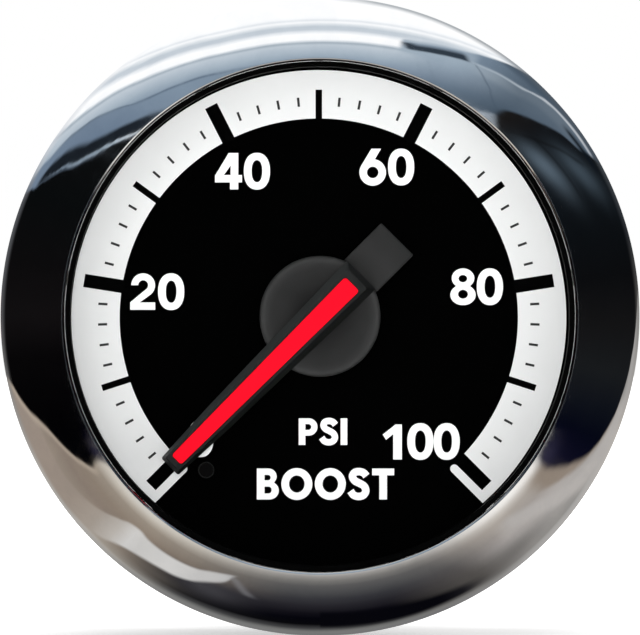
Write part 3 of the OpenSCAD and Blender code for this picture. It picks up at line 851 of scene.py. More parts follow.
def letter(c):
    """Loops and width."""
    if c == "I":
        return [[(0, 0), (25, 0), (25, 100), (0, 100)]], 25
    if c == "T":
        return [[(23, 0), (48, 0), (48, 78), (71, 78), (71, 100), (0, 100), (0, 78), (23, 78)]], 71
    if c == "P":
        o = [(0, 0), (25, 0), (25, 35), (38, 35)] + arc(38, 67.5, 32.5, 32.5, -90, 90, 24) + [(0, 100)]
        h = [(25, 56.5)] + arc(36, 67.5, 11, 11, -90, 90, 16) + [(25, 78.5)]
        return [o, h], 70.5
    if c == "B":
        ys = [100 * (1 - math.cos(PI * i / 48)) / 2 for i in range(49)]

        def right(y):
            w = 38.0
            for x0, cy, rx, ry in ((38, 74.5, 26, 25.5), (40, 29.0, 31, 29.0)):
                t = (y - cy) / ry
                if abs(t) <= 1:
                    w = max(w, x0 + rx * math.sqrt(max(0, 1 - t * t)))
            return w
        o = [(0, 0)] + [(right(y), y) for y in ys] + [(0, 100)]
        h1 = [(25, 19.5)] + arc(38, 30.5, 9.5, 11.0, -90, 90, 14) + [(25, 41.5)]
        h2 = [(25, 62)] + arc(36, 70.7, 8.2, 8.7, -90, 90, 14) + [(25, 79.4)]
        return [o, h1, h2], 71
    if c == "O":
        return [arc(50, 50, 50, 51.5, 0, 355, 71), arc(50, 50, 25, 27.5, 0, 355, 71)], 100
    if c == "S":
        path = [(58.5, 75.5), (50, 85.5), (36, 90), (20, 86.5), (13.6, 73.5), (21, 60.5), (36, 52.5), (51, 43), (56.5, 28), (49, 14.5), (33, 9.8), (17, 14.5), (7, 27.5)]
        return stroke(spline(path), 24), 69


def word(text, cx, top, cap, gap):
    """Loops in photo pixels, centred on cx."""
    total = sum(letter(c)[1] for c in text) + gap * (len(text) - 1)
    s = cap / 100
    x = cx - total * s / 2
    out = []
    for c in text:
        loops, w = letter(c)
        out.append([[(x + q[0] * s, top + cap - q[1] * s) for q in lp] for lp in loops])
        x += (w + gap) * s
    return out


# moulded rim of the small lamp window
v, f = lathe_data([(0.66, -2.30), (0.775, -2.30), (0.775, -2.215), (0.755, -2.18), (0.70, -2.18), (0.665, -2.21)], 48, -10.73, -14.49)
make("lamp_window_rim", v, f, "case", M["rim_grey"])

words = word("PSI", 323.0, 418.3, 26.6, 9) + word("BOOST", 325.5, 468.5, 31.0, 8)
v, f = join([plate_data([[px(*q) for q in lp] for lp in gl], PRINT_Z - 0.004, PRINT_Z + INK) for gl in words])
make("dial_legend", v, f, "case", M["white_ink"])


# ---------------------------------------------------------------- pointer
def PT(u, v, z):
    c, s = math.cos(math.radians(135)), math.sin(math.radians(135))
    return (u * c - v * s, u * s + v * c, z)


def rtrap(v0, v1, h0, h1, rad, n=7, mid=None):
    """Rounded outline: half width h0 at v0 to h1 at v1, by way of mid = (v, half width)."""
    pts = []
    rad0, rad1 = min(rad, h0 - 0.02), min(rad, h1 - 0.02)

    def corner(cx, cy, a0, r):
        for i in range(n + 1):
            a = math.radians(a0 + 90 * i / n)
            pts.append((cx + r * math.cos(a), cy + r * math.sin(a)))
    corner(h0 - rad0, v0 + rad0, -90, rad0)
    if mid:
        pts.append((mid[1], mid[0]))
    corner(h1 - rad1, v1 - rad1, 0, rad1)
    corner(-h1 + rad1, v1 - rad1, 90, rad1)
    if mid:
        pts.append((-mid[1], mid[0]))
    corner(-h0 + rad0, v0 + rad0, 180, rad0)
    return pts


def pointer_arm():
    """Tapered shroud: sloping flanks, a flat top, and the slot that the red insert lies in."""
    def at(f, z, d=0.0, rad=0.22):
        # f goes from the foot of the flank, 0, to its top, 1
        v0, v1 = -5.5 + 0.5 * f + d, 20.0 - 0.34 * f - d
        h0, hm, h1 = 1.9 - 0.60 * f - d, 1.45 - 0.42 * f - d, 1.14 - 0.24 * f - d
        return rtrap(v0, v1, h0, h1, rad, mid=(13.2, hm))
    levels = [(0.0, -0.5, 0.05), (0.0, -0.45, 0.0), (0.0, -0.30, 0.0), (0.06, -0.22, 0.0), (0.90, 0.46, 0.0), (0.97, 0.54, 0.0),
              (1.0, 0.585, 0.03), (1.0, 0.6, 0.08)]
    outer = [[PT(u, v, z) for u, v in at(f, z, d)] for f, z, d in levels]
    v, f = stack_data(outer, True, False)
    # the flat top round the slot, the slot's walls and its floor
    top = at(1.0, 0.6, 0.08)
    slot = rtrap(-4.33, 19.13, 0.965, 0.665, 0.32)
    tris = tessellate_polygon([[Vector((a, b, 0)) for a, b in top], [Vector((a, b, 0)) for a, b in slot]])
    base = len(v)
    allp = top + slot
    v += [PT(a, b, 0.6) for a, b in allp]
    f += [tuple(base + i for i in t) for t in tris]
    m = len(slot)
    s0 = base + len(top)
    s1 = len(v)
    v += [PT(a, b, 0.3) for a, b in slot]
    for i in range(m):
        j = (i + 1) % m
        f.append((s0 + i, s0 + j, s1 + j, s1 + i))
    f.append(tuple(s1 + i for i in range(m)))
    obj = make("pointer_shroud", v, f, "needle", M["arm"], ("pointer_arm",), 30, recalc=False)
    bm = bmesh.new()
    bm.from_mesh(obj.data)
    bmesh.ops.remove_doubles(bm, verts=bm.verts, dist=1e-7)
    bmesh.ops.recalc_face_normals(bm, faces=bm.faces)
    bm.to_mesh(obj.data)
    bm.free()
    finish_mesh(obj, 28)
    return obj


arm_piece = pointer_arm()


def layered(name, outline, levels, body, mat, replaces, angle=35):
    """outline(d) gives the loop inset by d; levels are (d, z) from bottom to top."""
    v, f = stack_data([[PT(a, b, z) for a, b in outline(d)] for d, z in levels])
    return make(name, v, f, body, mat, replaces, angle)


layered("pointer_red_insert", lambda d: rtrap(-4.3 + d, 19.1 - d, 0.94 - d, 0.64 - d, 0.3 - d * 0.5),
        [(0.0, 0.3), (0.0, 0.62), (0.02, 0.66), (0.07, 0.692), (0.15, 0.7)], "needle", M["stripe"], ("pointer_stripe",), 60)


def hub():
    prof = [(0, -1.4), (5.45, -1.4), (5.62, -1.33), (5.7, -1.2), (5.7, -0.90), (5.66, -0.76), (5.56, -0.66), (5.42, -0.61), (5.28, -0.60)]
    # dished face inside the rim
    prof += [(5.12, -0.615), (4.95, -0.66), (4.6, -0.69), (3.2, -0.75), (1.6, -0.79), (0, -0.8)]
    v, f = lathe_data(prof, 160)
    return make("pointer_hub_cap", v, f, "needle", M["hub"], ("hub_cap",), 45)


hub()


# ---------------------------------------------------------------- counterweight
def counterweight():
    v0, v1, h = -10.3, -5.4, 2.15
    levels = [(0.10, -1.9), (0.0, -1.8), (0.0, -0.85), (0.05, -0.75), (0.14, -0.7)]
    v, f = stack_data([[PT(a, b, z) for a, b in rtrap(v0 + d, v1 - d, h - d, h - d, 0.18)] for d, z in levels])
    # thin tongue that runs in under the hub disc
    t = stack_data([[PT(a, b, z) for a, b in rtrap(-6.0, 2.4, 2.15, 2.15, 0.3)] for z in (-1.9, -1.42)])
    v, f = join([(v, f), t])
    return make("pointer_weight", v, f, "needle", M["weight"], ("counterweight",), 35)


counterweight()


# ---------------------------------------------------------------- studs with rolled threads
def stud_data(cx, cy=0.0):
    pitch, r_out, r_root = 0.7, 2.0, 1.62
    z0, z1 = -47.0, -27.0
    rows = int((z1 - z0) / (pitch / 9))
    n = 40
    verts, faces = [], []
    for i in range(rows + 1):
        z = z0 + (z1 - z0) * i / rows
        for k in range(n):
            a = 2 * PI * k / n
            t = ((z - z0) / pitch - k / n) % 1.0
            # sixty degree flanks with a flat crest and a round root
            tri = 1 - abs(2 * t - 1)
            h = min(1.0, max(0.0, (tri - 0.08) / 0.8))
            h = h * h * (3 - 2 * h) * 0.35 + h * 0.65
            r = r_root + (r_out - r_root) * h
            edge = min(1.0, (z - z0) / 0.6)
            r = min(r, 1.45 + 0.55 * edge)
            # plain shank where it enters the case
            plain = min(1.0, max(0.0, (z - (z1 - 0.9)) / 0.5))
            r = r * (1 - plain) + 1.98 * plain
            verts.append((cx + r * math.cos(a), cy + r * math.sin(a), z))
    for i in range(rows):
        for k in range(n):
            k2 = (k + 1) % n
            faces.append((i * n + k, i * n + k2, (i + 1) * n + k2, (i + 1) * n + k))
    faces.append(tuple(reversed(range(n))))
    faces.append(tuple(range(rows * n, rows * n + n)))
    return verts, faces


lo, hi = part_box("mounting_studs")
v, f = join([stud_data(-12.0), stud_data(12.0)])
threads = make("stud_threads", v, f, "case", M["stud"], ("mounting_studs",), 32)
sb = []
top_z = -lo.y * 1000
for cx in (-12.0, 12.0):
    prof = [(0, -27.0), (2.0, -27.0), (2.0, -24.0), (3.0, -24.0), (3.0, top_z - 0.12), (2.88, top_z), (0, top_z)]
    sb.append(lathe_data(prof, 48, cx, 0))
v, f = join(sb)
make("stud_heads", v, f, "case", M["stud"], (), 35)


# ---------------------------------------------------------------- knurled thumb nuts
def nut_data(cx):
    zt = -35.9
    R = 4.6
    n = 48 * 6
    prof = []  # (r, z, knurl depth)
    prof += [(2.45, zt, 0), (3.45, zt, 0), (3.62, zt - 0.1, 0), (3.7, zt - 0.25, 0), (3.7, zt - 0.5, 0), (3.74, zt - 0.6, 0)]
    k0, k1 = zt - 0.6, zt - 3.6
    prof += [(4.15, k0, 0), (4.36, k0 - 0.08, 0), (R - 0.02, k0 - 0.34, 0.16), (R, k0 - 0.5, 0.3)]
    for i in range(1, 6):
        prof.append((R, k0 - 0.5 + (k1 + 0.5 - k0 + 0.5) * i / 6, 0.3))
    prof += [(R, k1 + 0.5, 0.3), (R - 0.02, k1 + 0.34, 0.16), (4.36, k1 + 0.08, 0), (4.15, k1, 0), (3.8, k1, 0)]
    prof += [(3.72, k1 - 0.08, 0), (3.7, k1 - 0.7, 0), (3.6, k1 - 0.88, 0), (3.45, k1 - 1.0, 0), (2.5, k1 - 1.0, 0),
             (2.04, k1 - 0.62, 0), (2.04, zt - 0.4, 0)]
    verts, faces = [], []
    for r, z, d in prof:
        for k in range(n):
            a = 2 * PI * k / n
            t = (k / 6.0) % 1.0
            tooth = abs(2 * t - 1)
            rr = r - d * (1 - min(1.0, tooth * 1.35))
            verts.append((cx + rr * math.cos(a), rr * math.sin(a), z))
    m = len(prof)
    for i in range(m):
        j = (i + 1) % m
        for k in range(n):
            k2 = (k + 1) % n
            faces.append((i * n + k, j * n + k, j * n + k2, i * n + k2))
    return verts, faces


for cx, nm in ((-12.0, "nut_left"), (12.0, "nut_right")):
    v, f = nut_data(cx)
    make(nm + "_knurled", v, f, nm, M["nut"], (nm,), 38)


# ---------------------------------------------------------------- parts with broken edges
refine("u_clamp", "clamp_strap", 0.22, 3)
refine("lock_washers", "spring_washers", 0.12, 2)
refine("connector_housing", "socket_shroud", 0.18, 2)
refine("connector_pins", "socket_pins", 0.1, 2)
refine("case", "case_cup", 0.0, 1)


# ---------------------------------------------------------------- light: what polished parts mirror, and the soft room
def build_world():
    """What the polished parts mirror. Places are written as (phi, q): phi is the angle round the
    ring, clockwise from the top, and q is where a straight-on reader sees the direction on the
    ring's curve, in the view's pixels from the axis. Everything is a soft-edged shape."""
    w = bpy.data.worlds.new("studio")
    scene.world = w
    w.use_nodes = True
    nt = w.node_tree
    nt.nodes.clear()
    g = Nodes(nt)
    out = g.node("ShaderNodeOutputWorld")
    tc = g.node("ShaderNodeTexCoord")
    d0 = tc.outputs["Generated"]
    sep = g.node("ShaderNodeSeparateXYZ")
    nt.links.new(d0, sep.inputs[0])
    dx, dy, dz = sep.outputs[0], sep.outputs[1], sep.outputs[2]
    wob1 = g.sub(g.noise(d0, 2.6, 2.0, 0.5), 0.5)
    wob2 = g.sub(g.noise(d0, 5.0, 2.0, 0.5), 0.5)
    wob3 = g.sub(g.noise(d0, 14.0, 2.0, 0.6), 0.5)
    phi = g.mul(g.m("ARCTAN2", dx, dz), 180 / PI)
    phi = g.add(phi, g.mul(wob1, 1.6))
    sp = g.m("SQRT", g.add(g.mul(dx, dx), g.mul(dz, dz)))
    k = g.mul(g.m("DIVIDE", sp, g.m("MAXIMUM", g.sub(1.0, dy), 0.0005)), 5.95 / 4.2)
    q = g.add(256.1, g.mul(63.4, g.m("DIVIDE", k, g.m("SQRT", g.add(1.0, g.mul(k, k))))))
    q = g.add(q, g.mul(wob2, 1.6))

    def C(*rgb):
        return lin(rgb)[:3]

    def over(base, col, mask, amount=1.0):
        if amount != 1.0:
            mask = g.mul(mask, amount)
        return g.mixc(base, col, mask)

    def fq(pts):
        """A line q(phi)."""
        return g.curve(phi, pts)

    def fphi(pts):
        """A line phi(q)."""
        return g.curve(q, pts)

    def above(a, b, soft):
        return g.step(g.sub(a, b), -soft, soft)

    def spot(cx, cy, rx, ry, lean=0.0):
        u = g.m("DIVIDE", g.sub(g.sub(phi, cx), g.mul(g.sub(q, cy), lean)), rx)
        v = g.m("DIVIDE", g.sub(q, cy), ry)
        return g.m("EXPONENT", g.mul(g.add(g.mul(u, u), g.mul(v, v)), -1.0))

    def line(pts, half, soft, p0, p1, psoft=0.8):
        """A soft stroke along q(phi) between two angles."""
        d = g.sub(q, fq(pts))
        return g.mul(g.band(d, -half, half, soft), g.band(phi, p0, p1, psoft))

    # walls of the room
    col = g.ramp(phi, -130, 130, [(-130, (3, 3, 6)), (-112, (2, 2, 3)), (-98, (7, 6, 7)), (-90, (17, 15, 16)), (-80, (12, 11, 12)), (-66, (9, 11, 12)),
                                  (42, (26, 24, 23)), (50, (18, 20, 23)), (62, (16, 20, 24)), (72, (12, 15, 18)), (82, (11, 12, 14)), (92, (19, 19, 20)), (101, (24, 26, 28)), (108, (14, 17, 24)), (114, (5, 7, 20)), (120, (12, 12, 30)), (126, (30, 29, 46))])
    col = over(col, C(12, 10, 44), spot(-121.5, 260.5, 3.0, 4.5), 0.9)
    col = over(col, C(46, 44, 64), spot(121.5, 266, 3.4, 8), 0.7)

    # ground, left side
    bottom = g.ramp(q, 256, 320, [(256, (182, 180, 177)), (258, (176, 174, 170)), (261, (148, 145, 141)), (265, (116, 114, 111)), (270, (88, 87, 87)), (275, (76, 76, 77)),
                                  (283, (52, 52, 56)), (290, (36, 35, 40)), (297, (17, 16, 22)), (302, (5, 5, 11)), (308, (8, 8, 11)), (312, (62, 62, 63)), (315, (112, 112, 110)), (319, (150, 150, 150))])
    tan_l = g.ramp(q, 256, 320, [(257, (208, 202, 193)), (261, (200, 192, 180)), (270, (150, 139, 126)), (280, (138, 125, 112)), (290, (134, 121, 110)),
                                 (298, (142, 130, 118)), (306, (150, 138, 126)), (313, (158, 149, 138)), (319, (196, 192, 186))])
    to_tan = g.mixf(g.step(phi, -176, -138), g.step(phi, -154, -132), g.step(q, 278, 292))
    gl = g.mixc(bottom, tan_l, to_tan)
    gl = over(gl, C(203, 199, 191), spot(-137, 259.5, 8.0, 3.6), 0.85)
    gl = over(gl, C(74, 73, 77), spot(-157, 295, 7.5, 9.0), 0.6)
    gl = over(gl, C(96, 92, 88), spot(-148, 305, 6.0, 5.0), 0.35)
    # pale sheet lying on the ground
    low = fq([(-163, 272.5), (-161.4, 273.5), (-157.2, 277.3), (-153, 281.7), (-148.2, 283.1), (-142.8, 282.2), (-139.2, 279.7), (-135.6, 285), (-132, 291.9), (-128.4, 296.7), (-122, 301)])
    top = fq([(-163, 271.5), (-161.4, 275.5), (-160.2, 282.2), (-156, 289.9), (-151.2, 296.7), (-146.4, 298.4), (-141.6, 301.1), (-138, 305.5), (-135, 311), (-131, 315), (-122, 318)])
    sheet = g.mul(g.mul(above(q, low, 1.7), above(top, q, 1.9)), g.step(phi, -163.2, -160.6))
    sheet_c = g.ramp(phi, -163, -118, [(-163, (186, 185, 184)), (-155, (196, 194, 192)), (-149, (208, 206, 203)), (-142, (199, 197, 194)), (-139.6, (207, 205, 202)),
                                       (-136.5, (182, 176, 169)), (-132, (160, 150, 140)), (-126, (150, 138, 127)), (-118, (150, 137, 126))])
    gl = over(gl, sheet_c, sheet, 0.96)
    fold = g.mul(g.band(g.sub(phi, g.add(-161.6, g.mul(g.sub(q, 276.0), -0.33))), -0.7, 0.7, 1.5), g.band(q, 275, 289, 2.5))
    gl = over(gl, C(140, 140, 144), fold, 0.55)

    # ground, right side
    gr = g.mixc(bottom, C(128, 123, 118), g.step(phi, 168, 144, 0.0, 0.4))
    gr = g.mixc(gr, g.mixc(C(30, 29, 33), C(6, 6, 11), g.step(phi, 148, 158)), g.mul(g.band(g.sub(q, g.curve(phi, [(143, 309), (149, 306.5), (157, 302.5), (167, 299), (180, 296.5)])), -0.5, 14.0, 3.2), g.mul(g.step(phi, 146, 153), g.step(q, 315.0, 310))))
    near = g.ramp(q, 256, 320, [(257, (226, 223, 219)), (261, (214, 209, 203)), (266, (190, 183, 175)), (272, (168, 160, 152)), (281, (160, 153, 147)),
                                (290, (170, 164, 160)), (298, (170, 165, 161)), (306, (160, 156, 152)), (313, (146, 143, 139)), (319, (190, 188, 186))])
    near = over(near, C(114, 111, 108), spot(139, 304, 7.5, 9.0), 0.85)
    gr = g.mixc(gr, near, g.step(phi, g.curve(q, [(257, 166), (268, 160), (282, 154.5), (298, 150), (313, 148)]), g.curve(q, [(257, 138), (268, 137), (282, 137), (298, 136), (313, 135)])))
    gr = over(gr, C(178, 173, 169), line([(108, 316), (114, 312.5), (121.2, 308), (127.2, 298.7), (132, 289), (137, 281.5)], 6.5, 4.5, 106, 139, 2.5), 0.9)
    gr = over(gr, C(137, 124, 111), g.mul(above(fq([(108, 309.5), (114, 306.5), (121, 297), (127, 285), (131, 277), (134, 270)]), q, 3.0), g.mul(g.step(phi, 131, 126), g.step(q, 262, 270))), 0.9)
    gr = over(gr, C(246, 243, 238), spot(133.5, 258.5, 10.0, 6.0), 0.95)

    left_side = g.step(phi, 4, -4)
    ground = g.mixc(gr, gl, left_side)
    edge_l = fphi([(257, -125.6), (263.7, -123.6), (268.6, -123.2), (272.5, -123.4), (279.3, -120.9), (285, -118.2), (292.8, -113.4), (298.7, -110.4), (306.4, -107.4), (313, -103.8), (318, -101)])
    edge_r = fphi([(257, 122.2), (266.6, 123.8), (274.4, 123.6), (282, 122.4), (294.8, 119.4), (302.6, 116.4), (308.4, 111), (311.8, 105), (315, 94.8), (318, 86)])
    # rim light along the ground's edge
    lit = g.mul(g.band(g.sub(phi, edge_l), -1.5, 0.4, 1.3), g.step(q, 264, 276))
    ground = over(ground, C(182, 168, 152), lit, 0.7)
    ground_m = g.mixf(above(phi, edge_r, 1.2), above(edge_l, phi, 0.75), left_side)
    col = g.mixc(col, ground, ground_m)

    # soft glow on the right wall, crossed by dark folds
    col = over(col, C(88, 102, 114), spot(56.5, 270.5, 5.2, 10.5, 0.40), 0.85)
    col = over(col, C(66, 78, 88), spot(60.5, 297, 4.2, 11.0, 0.36), 0.8)
    col = over(col, C(14, 17, 20), line([(49, 277), (56, 281.5), (62, 285), (68, 288)], 0.6, 1.6, 49, 66, 2.0), 0.7)
    col = over(col, C(13, 13, 14), line([(43, 260), (47, 268), (50, 276), (53, 285), (57, 296), (60, 303)], 0.8, 2.2, 44, 60, 1.0), 0.8)

    # sky: bands that follow the bowed sill of the window
    sag = g.curve(phi, [(-60, 49), (-48, 34.6), (-42, 27.8), (-36, 20.0), (-30, 13.8), (-24, 8.0), (-18, 3.6), (-9, 1.0), (0, 0), (9, 1.4), (17, 4.8), (26, 11), (40, 24)])
    s = g.add(g.sub(q, sag), g.mul(wob3, 0.8))
    sky = g.ramp(s, 232, 306, [(234, (92, 106, 120)), (244, (102, 119, 138)), (250, (120, 137, 155)), (255.6, (138, 154, 170)), (260, (152, 167, 181)), (263, (163, 177, 189)),
                               (267, (176, 188, 199)), (271.5, (190, 200, 209)), (273.8, (162, 174, 184)), (275.2, (208, 215, 221)), (276.8, (251, 252, 253)), (282, (255, 255, 255)),
                               (284.6, (230, 234, 238)), (286.8, (197, 205, 213)), (289.5, (194, 203, 211)), (292.2, (224, 229, 233)), (294.3, (250, 251, 252)), (296.2, (228, 232, 236)), (298.2, (251, 252, 253)), (300.5, (255, 255, 255)), (306, (255, 255, 255))])
    # a fold runs down to the left of the window, and the sky is deeper under it
    fold_q = fq([(-66, 320), (-60, 313.5), (-54, 306.4), (-48, 297.7), (-43.2, 288), (-40.2, 280.2), (-33, 272.5), (-24, 264.7), (-18, 259.6), (-11, 255.5), (0, 250)])
    below = g.mixc(C(104, 121, 141), C(126, 143, 160), g.step(phi, -54, -30))
    sky = over(sky, below, above(fold_q, q, 1.2), 0.92)
    sky = over(sky, C(84, 100, 117), g.mul(g.band(g.sub(q, fold_q), -0.6, 0.9, 1.3), g.band(phi, -57, -15, 4.0)), 0.9)
    # panel right of the window
    panel = g.ramp(g.sub(q, g.mul(g.sub(phi, 30.0), 1.15)), 244, 312, [(244, (70, 82, 95)), (254, (84, 98, 112)), (264, (104, 120, 136)), (274, (128, 143, 158)), (284, (146, 161, 175)),
                                                                      (292, (156, 171, 184)), (300, (150, 165, 179)), (312, (128, 145, 161))])
    streak = [(30.5, 295.5), (33.5, 298), (37.2, 301.4), (41.4, 304.3), (44, 308.6), (47, 312.3), (51, 314), (58, 315)]
    upper = g.mul(above(q, fq(streak), 1.0), g.step(phi, 30.5, 32.5))
    panel = g.mixc(panel, g.mixc(C(124, 141, 158), C(86, 99, 113), g.step(q, 309, 315)), upper)
    under = g.mul(g.band(g.sub(q, fq(streak)), -9.0, 0.0, 3.5), g.band(phi, 33, 54, 3.0))
    panel = over(panel, C(174, 187, 198), under, 0.75)
    seam = line([(31.6, 296), (33.5, 291), (36, 285), (38.4, 277.3), (41, 270.8)], 0.5, 1.5, 31.5, 41.2, 0.5)
    panel = over(panel, C(80, 94, 109), seam, 0.85)
    for a0, a1 in ((20.2, 23.4), (23.0, 27.0)):
        sm = g.mul(g.band(g.sub(phi, fphi([(257, a1), (278, a0)])), -0.1, 0.1, 0.55), g.band(q, 255, 277.5, 1.5))
        panel = over(panel, C(104, 119, 134), sm, 0.5)
    panel = over(panel, C(66, 80, 94), g.step(phi, 27, 43), 0.8)
    pl = g.mixf(g.step(phi, 12, 27), above(phi, 16.7, 0.5), g.step(q, 274, 282))
    ptop = above(fq([(15, 288.5), (16.8, 289.8), (24, 297.4), (29, 302.4), (32, 307.0), (35.4, 312.5), (38.5, 317), (60, 330)]), q, 1.3)
    sky = g.mixc(sky, panel, g.mul(pl, ptop))
    bright = g.mul(line(streak, 0.5, 1.5, 31, 60, 1.5), 1.0)
    sky = over(sky, g.ramp(phi, 30, 60, [(30, (176, 188, 199)), (38, (190, 201, 210)), (43, (214, 222, 229)), (47, (240, 244, 248)), (56, (244, 247, 250)), (60, (200, 208, 216))]), bright, 0.9)
    # dark slot at the panel's upper left, with a paler upper half
    slot_d = g.sub(q, fq([(16.5, 282.6), (19, 285.0), (24, 290.6), (29.5, 297.3), (31, 299)]))
    slot_m = g.mul(g.band(slot_d, -3.5, 3.7, 1.2), g.band(g.add(phi, g.mul(slot_d, 0.22)), 17.5, 29.7, 0.8))
    slot_c = g.mixc(C(36, 46, 57), C(118, 132, 147), g.step(slot_d, 0.4, 3.4))
    slot_c = g.mixc(slot_c, C(32, 42, 53), g.step(phi, 20.0, 18.0))
    sky = over(sky, C(208, 216, 223), g.mul(g.band(slot_d, 5.0, 9.0, 2.0), g.band(phi, 17.5, 29, 2.0)), 0.6)
    sky = over(sky, slot_c, slot_m, 0.96)
    # wedge of light low on the panel
    wedge = g.mul(g.mul(above(phi, fphi([(255, 36.0), (257, 36.9), (262.8, 39.2), (268.6, 41.2)]), 0.35), above(fphi([(255, 40.5), (262.8, 41.4), (268.6, 41.6)]), phi, 0.3)), g.step(q, 269.5, 266.5))
    sky = over(sky, g.ramp(q, 255, 270, [(256, (224, 231, 238)), (262, (196, 206, 216)), (270, (160, 172, 184))]), wedge, 0.95)

    left = fphi([(256, -44.2), (258.9, -45.6), (269.5, -51), (278.3, -55.2), (287, -58.2), (296.7, -60.6), (306.4, -63.6), (313, -66), (318, -67)])
    right = fphi([(256, 41), (270.5, 41.2), (277.3, 42.2), (285, 45.0), (292.8, 48.8), (301.6, 52.8), (308.4, 57.2), (315, 59.5), (318, 61)])
    sky_m = g.mul(above(phi, left, 0.6), above(right, phi, 0.8))
    # dark jamb inside the left frame, with the bright edge beside it
    jamb = g.mul(above(phi, left, 0.5), above(fphi([(256, -36), (258, -37), (262.7, -39.4), (272.5, -45.3), (282.2, -50.2), (291.9, -53.7), (301.6, -56.8), (310.3, -62.6), (313, -65.5)]), phi, 1.3))
    sky = over(sky, g.mixc(C(15, 19, 24), C(9, 12, 15), g.step(q, 262, 285)), g.mul(jamb, g.step(q, 313.5, 309)), 0.95)
    edge_c = g.ramp(q, 256, 312, [(257, (230, 236, 242)), (263, (205, 214, 223)), (270, (176, 190, 202)), (278, (150, 166, 180)), (288, (134, 149, 163)), (297, (110, 124, 138)), (305, (70, 80, 91)), (312, (40, 46, 54))])
    ed = g.sub(phi, g.add(left, g.mul(wob3, 2.2)))
    sky = over(sky, edge_c, g.mul(g.band(ed, 0.15, g.curve(q, [(257, 1.5), (275, 1.5), (300, 0.9)]), 0.45), g.step(q, 312, 305)), 0.95)
    col = g.mixc(col, sky, sky_m)
    # dark tooth under the panel's upper right corner
    col = over(col, C(15, 21, 28), line([(50, 308.4), (54, 309.2), (58, 310.4), (62, 312.0)], 1.4, 1.5, 52.5, 62, 1.6), 0.95)

    # rim of the view, seen only at the ring's outermost turn
    rim = g.step(q, 314.0, 318.6)
    rim_c = g.ramp(phi, -180, 180, [(-180, (98, 98, 97)), (-150, (112, 111, 109)), (-120, (172, 168, 163)), (-104, (120, 118, 116)), (-90, (92, 92, 94)), (-68, (90, 92, 96)), (-58, (200, 204, 210)), (-30, (252, 252, 252)), (0, (252, 252, 252)),
                                    (10, (132, 141, 148)), (32, (104, 113, 121)), (42, (84, 92, 100)), (60, (70, 75, 80)), (75, (44, 46, 50)), (92, (96, 94, 90)), (112, (176, 170, 164)), (140, (150, 148, 146)), (158, (96, 96, 96)), (180, (98, 98, 97))])
    col = g.mixc(col, rim_c, g.mul(rim, 0.72))
    # straight back at the reader
    col = g.mixc(col, C(84, 89, 95), g.step(q, 258.0, 256.0, 0.0, 0.5))

    bg_g = g.node("ShaderNodeBackground")
    nt.links.new(col, bg_g.inputs[0])
    bg_g.inputs[1].default_value = 1.14
    bg_d = g.node("ShaderNodeBackground")
    bg_d.inputs[0].default_value = (1, 1, 1, 1)
    bg_d.inputs[1].default_value = 0.5
    bg_c = g.node("ShaderNodeBackground")
    bg_c.inputs[0].default_value = (1, 1, 1, 1)
    bg_c.inputs[1].default_value = 1.0
    lp = g.node("ShaderNodeLightPath")
    m1 = g.node("ShaderNodeMixShader")
    nt.links.new(lp.outputs["Is Glossy Ray"], m1.inputs[0])
    nt.links.new(bg_d.outputs[0], m1.inputs[1])
    nt.links.new(bg_g.outputs[0], m1.inputs[2])
    m2 = g.node("ShaderNodeMixShader")
    nt.links.new(lp.outputs["Is Camera Ray"], m2.inputs[0])
    nt.links.new(m1.outputs[0], m2.inputs[1])
    nt.links.new(bg_c.outputs[0], m2.inputs[2])
    nt.links.new(m2.outputs[0], out.inputs[0])
    w.cycles.sampling_method = "NONE"


build_world()


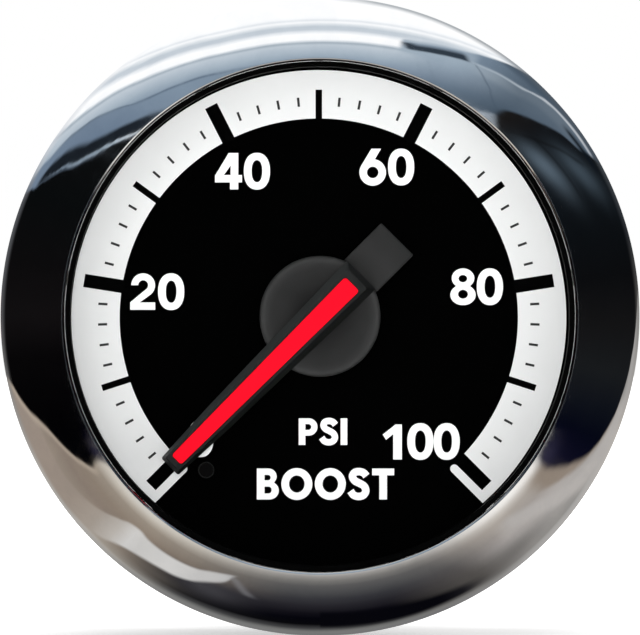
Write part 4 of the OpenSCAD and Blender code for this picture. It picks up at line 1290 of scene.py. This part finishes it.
def area(name, loc, target, size, effect):
    """effect: share of full white that it gives a surface facing it at the target."""
    d = (Vector(target) - Vector(loc))
    data = bpy.data.lights.new(name, "AREA")
    data.shape = "DISK"
    data.size = size
    data.energy = effect * PI * PI * d.length_squared
    obj = bpy.data.objects.new(name, data)
    scene.collection.objects.link(obj)
    obj.location = loc
    obj.rotation_mode = "QUATERNION"
    obj.rotation_quaternion = d.to_track_quat("-Z", "Y")
    obj.visible_glossy = False
    obj.visible_camera = False
    return obj


front = area("front_soft", (0.0, -1.05, 0.02), (0, 0, 0), 0.22, 0.49)
area("upper_left_soft", (-0.3, -0.9, 0.33), (0, 0, 0), 0.3, 0.09)
# a small lamp that only picks out the pointer's upper flank
key = area("pointer_key", (-0.24, -0.212, 0.24), (0, 0, 0), 0.05, 1.6)
only = bpy.data.collections.new("pointer_key_receivers")
only.objects.link(arm_piece)
key.light_linking.receiver_collection = only
others = bpy.data.collections.new("front_soft_receivers")
others.objects.link(arm_piece)
others.collection_objects[0].light_linking.link_state = "EXCLUDE"
front.light_linking.receiver_collection = others
area("top_soft", (0.0, 0.05, 0.9), (0, 0, 0), 0.9, 0.42)
area("rear_soft", (0.35, 0.8, 0.35), (0, 0, 0), 0.5, 0.4)

# ---------------------------------------------------------------- floor and camera
fl_n = 24
fv, ff = [], []
for i in range(fl_n + 1):
    for j in range(fl_n + 1):
        fv.append(((i / fl_n - 0.5) * 8.0, (j / fl_n - 0.5) * 8.0, -0.0302))
for i in range(fl_n):
    for j in range(fl_n):
        a = i * (fl_n + 1) + j
        ff.append((a, a + fl_n + 1, a + fl_n + 2, a + 1))
fme = bpy.data.meshes.new("floor")
fme.from_pydata(fv, [], ff)
floor = bpy.data.objects.new("floor", fme)
scene.collection.objects.link(floor)
fme.materials.append(floor_material())
floor.visible_glossy = False
floor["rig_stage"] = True

cam_data = bpy.data.cameras.new("camera")
cam = bpy.data.objects.new("camera", cam_data)
scene.collection.objects.link(cam)
cam_data.sensor_width = 36.0
cam_data.lens = 36.0 * DIST / FRAME_W
cam_data.clip_start = 0.01
cam_data.clip_end = 50.0
cam.location = ((320.0 - AXIS_PX[0]) * 0.0000939, -0.001 - DIST, (AXIS_PX[1] - 317.5) * 0.0000939)
cam.rotation_euler = (math.radians(90), 0, 0)
scene.camera = cam

scene.view_settings.view_transform = "Standard"
scene.view_settings.look = "None"
scene.view_settings.exposure = 0.0
scene.view_settings.gamma = 1.0

lo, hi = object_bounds()
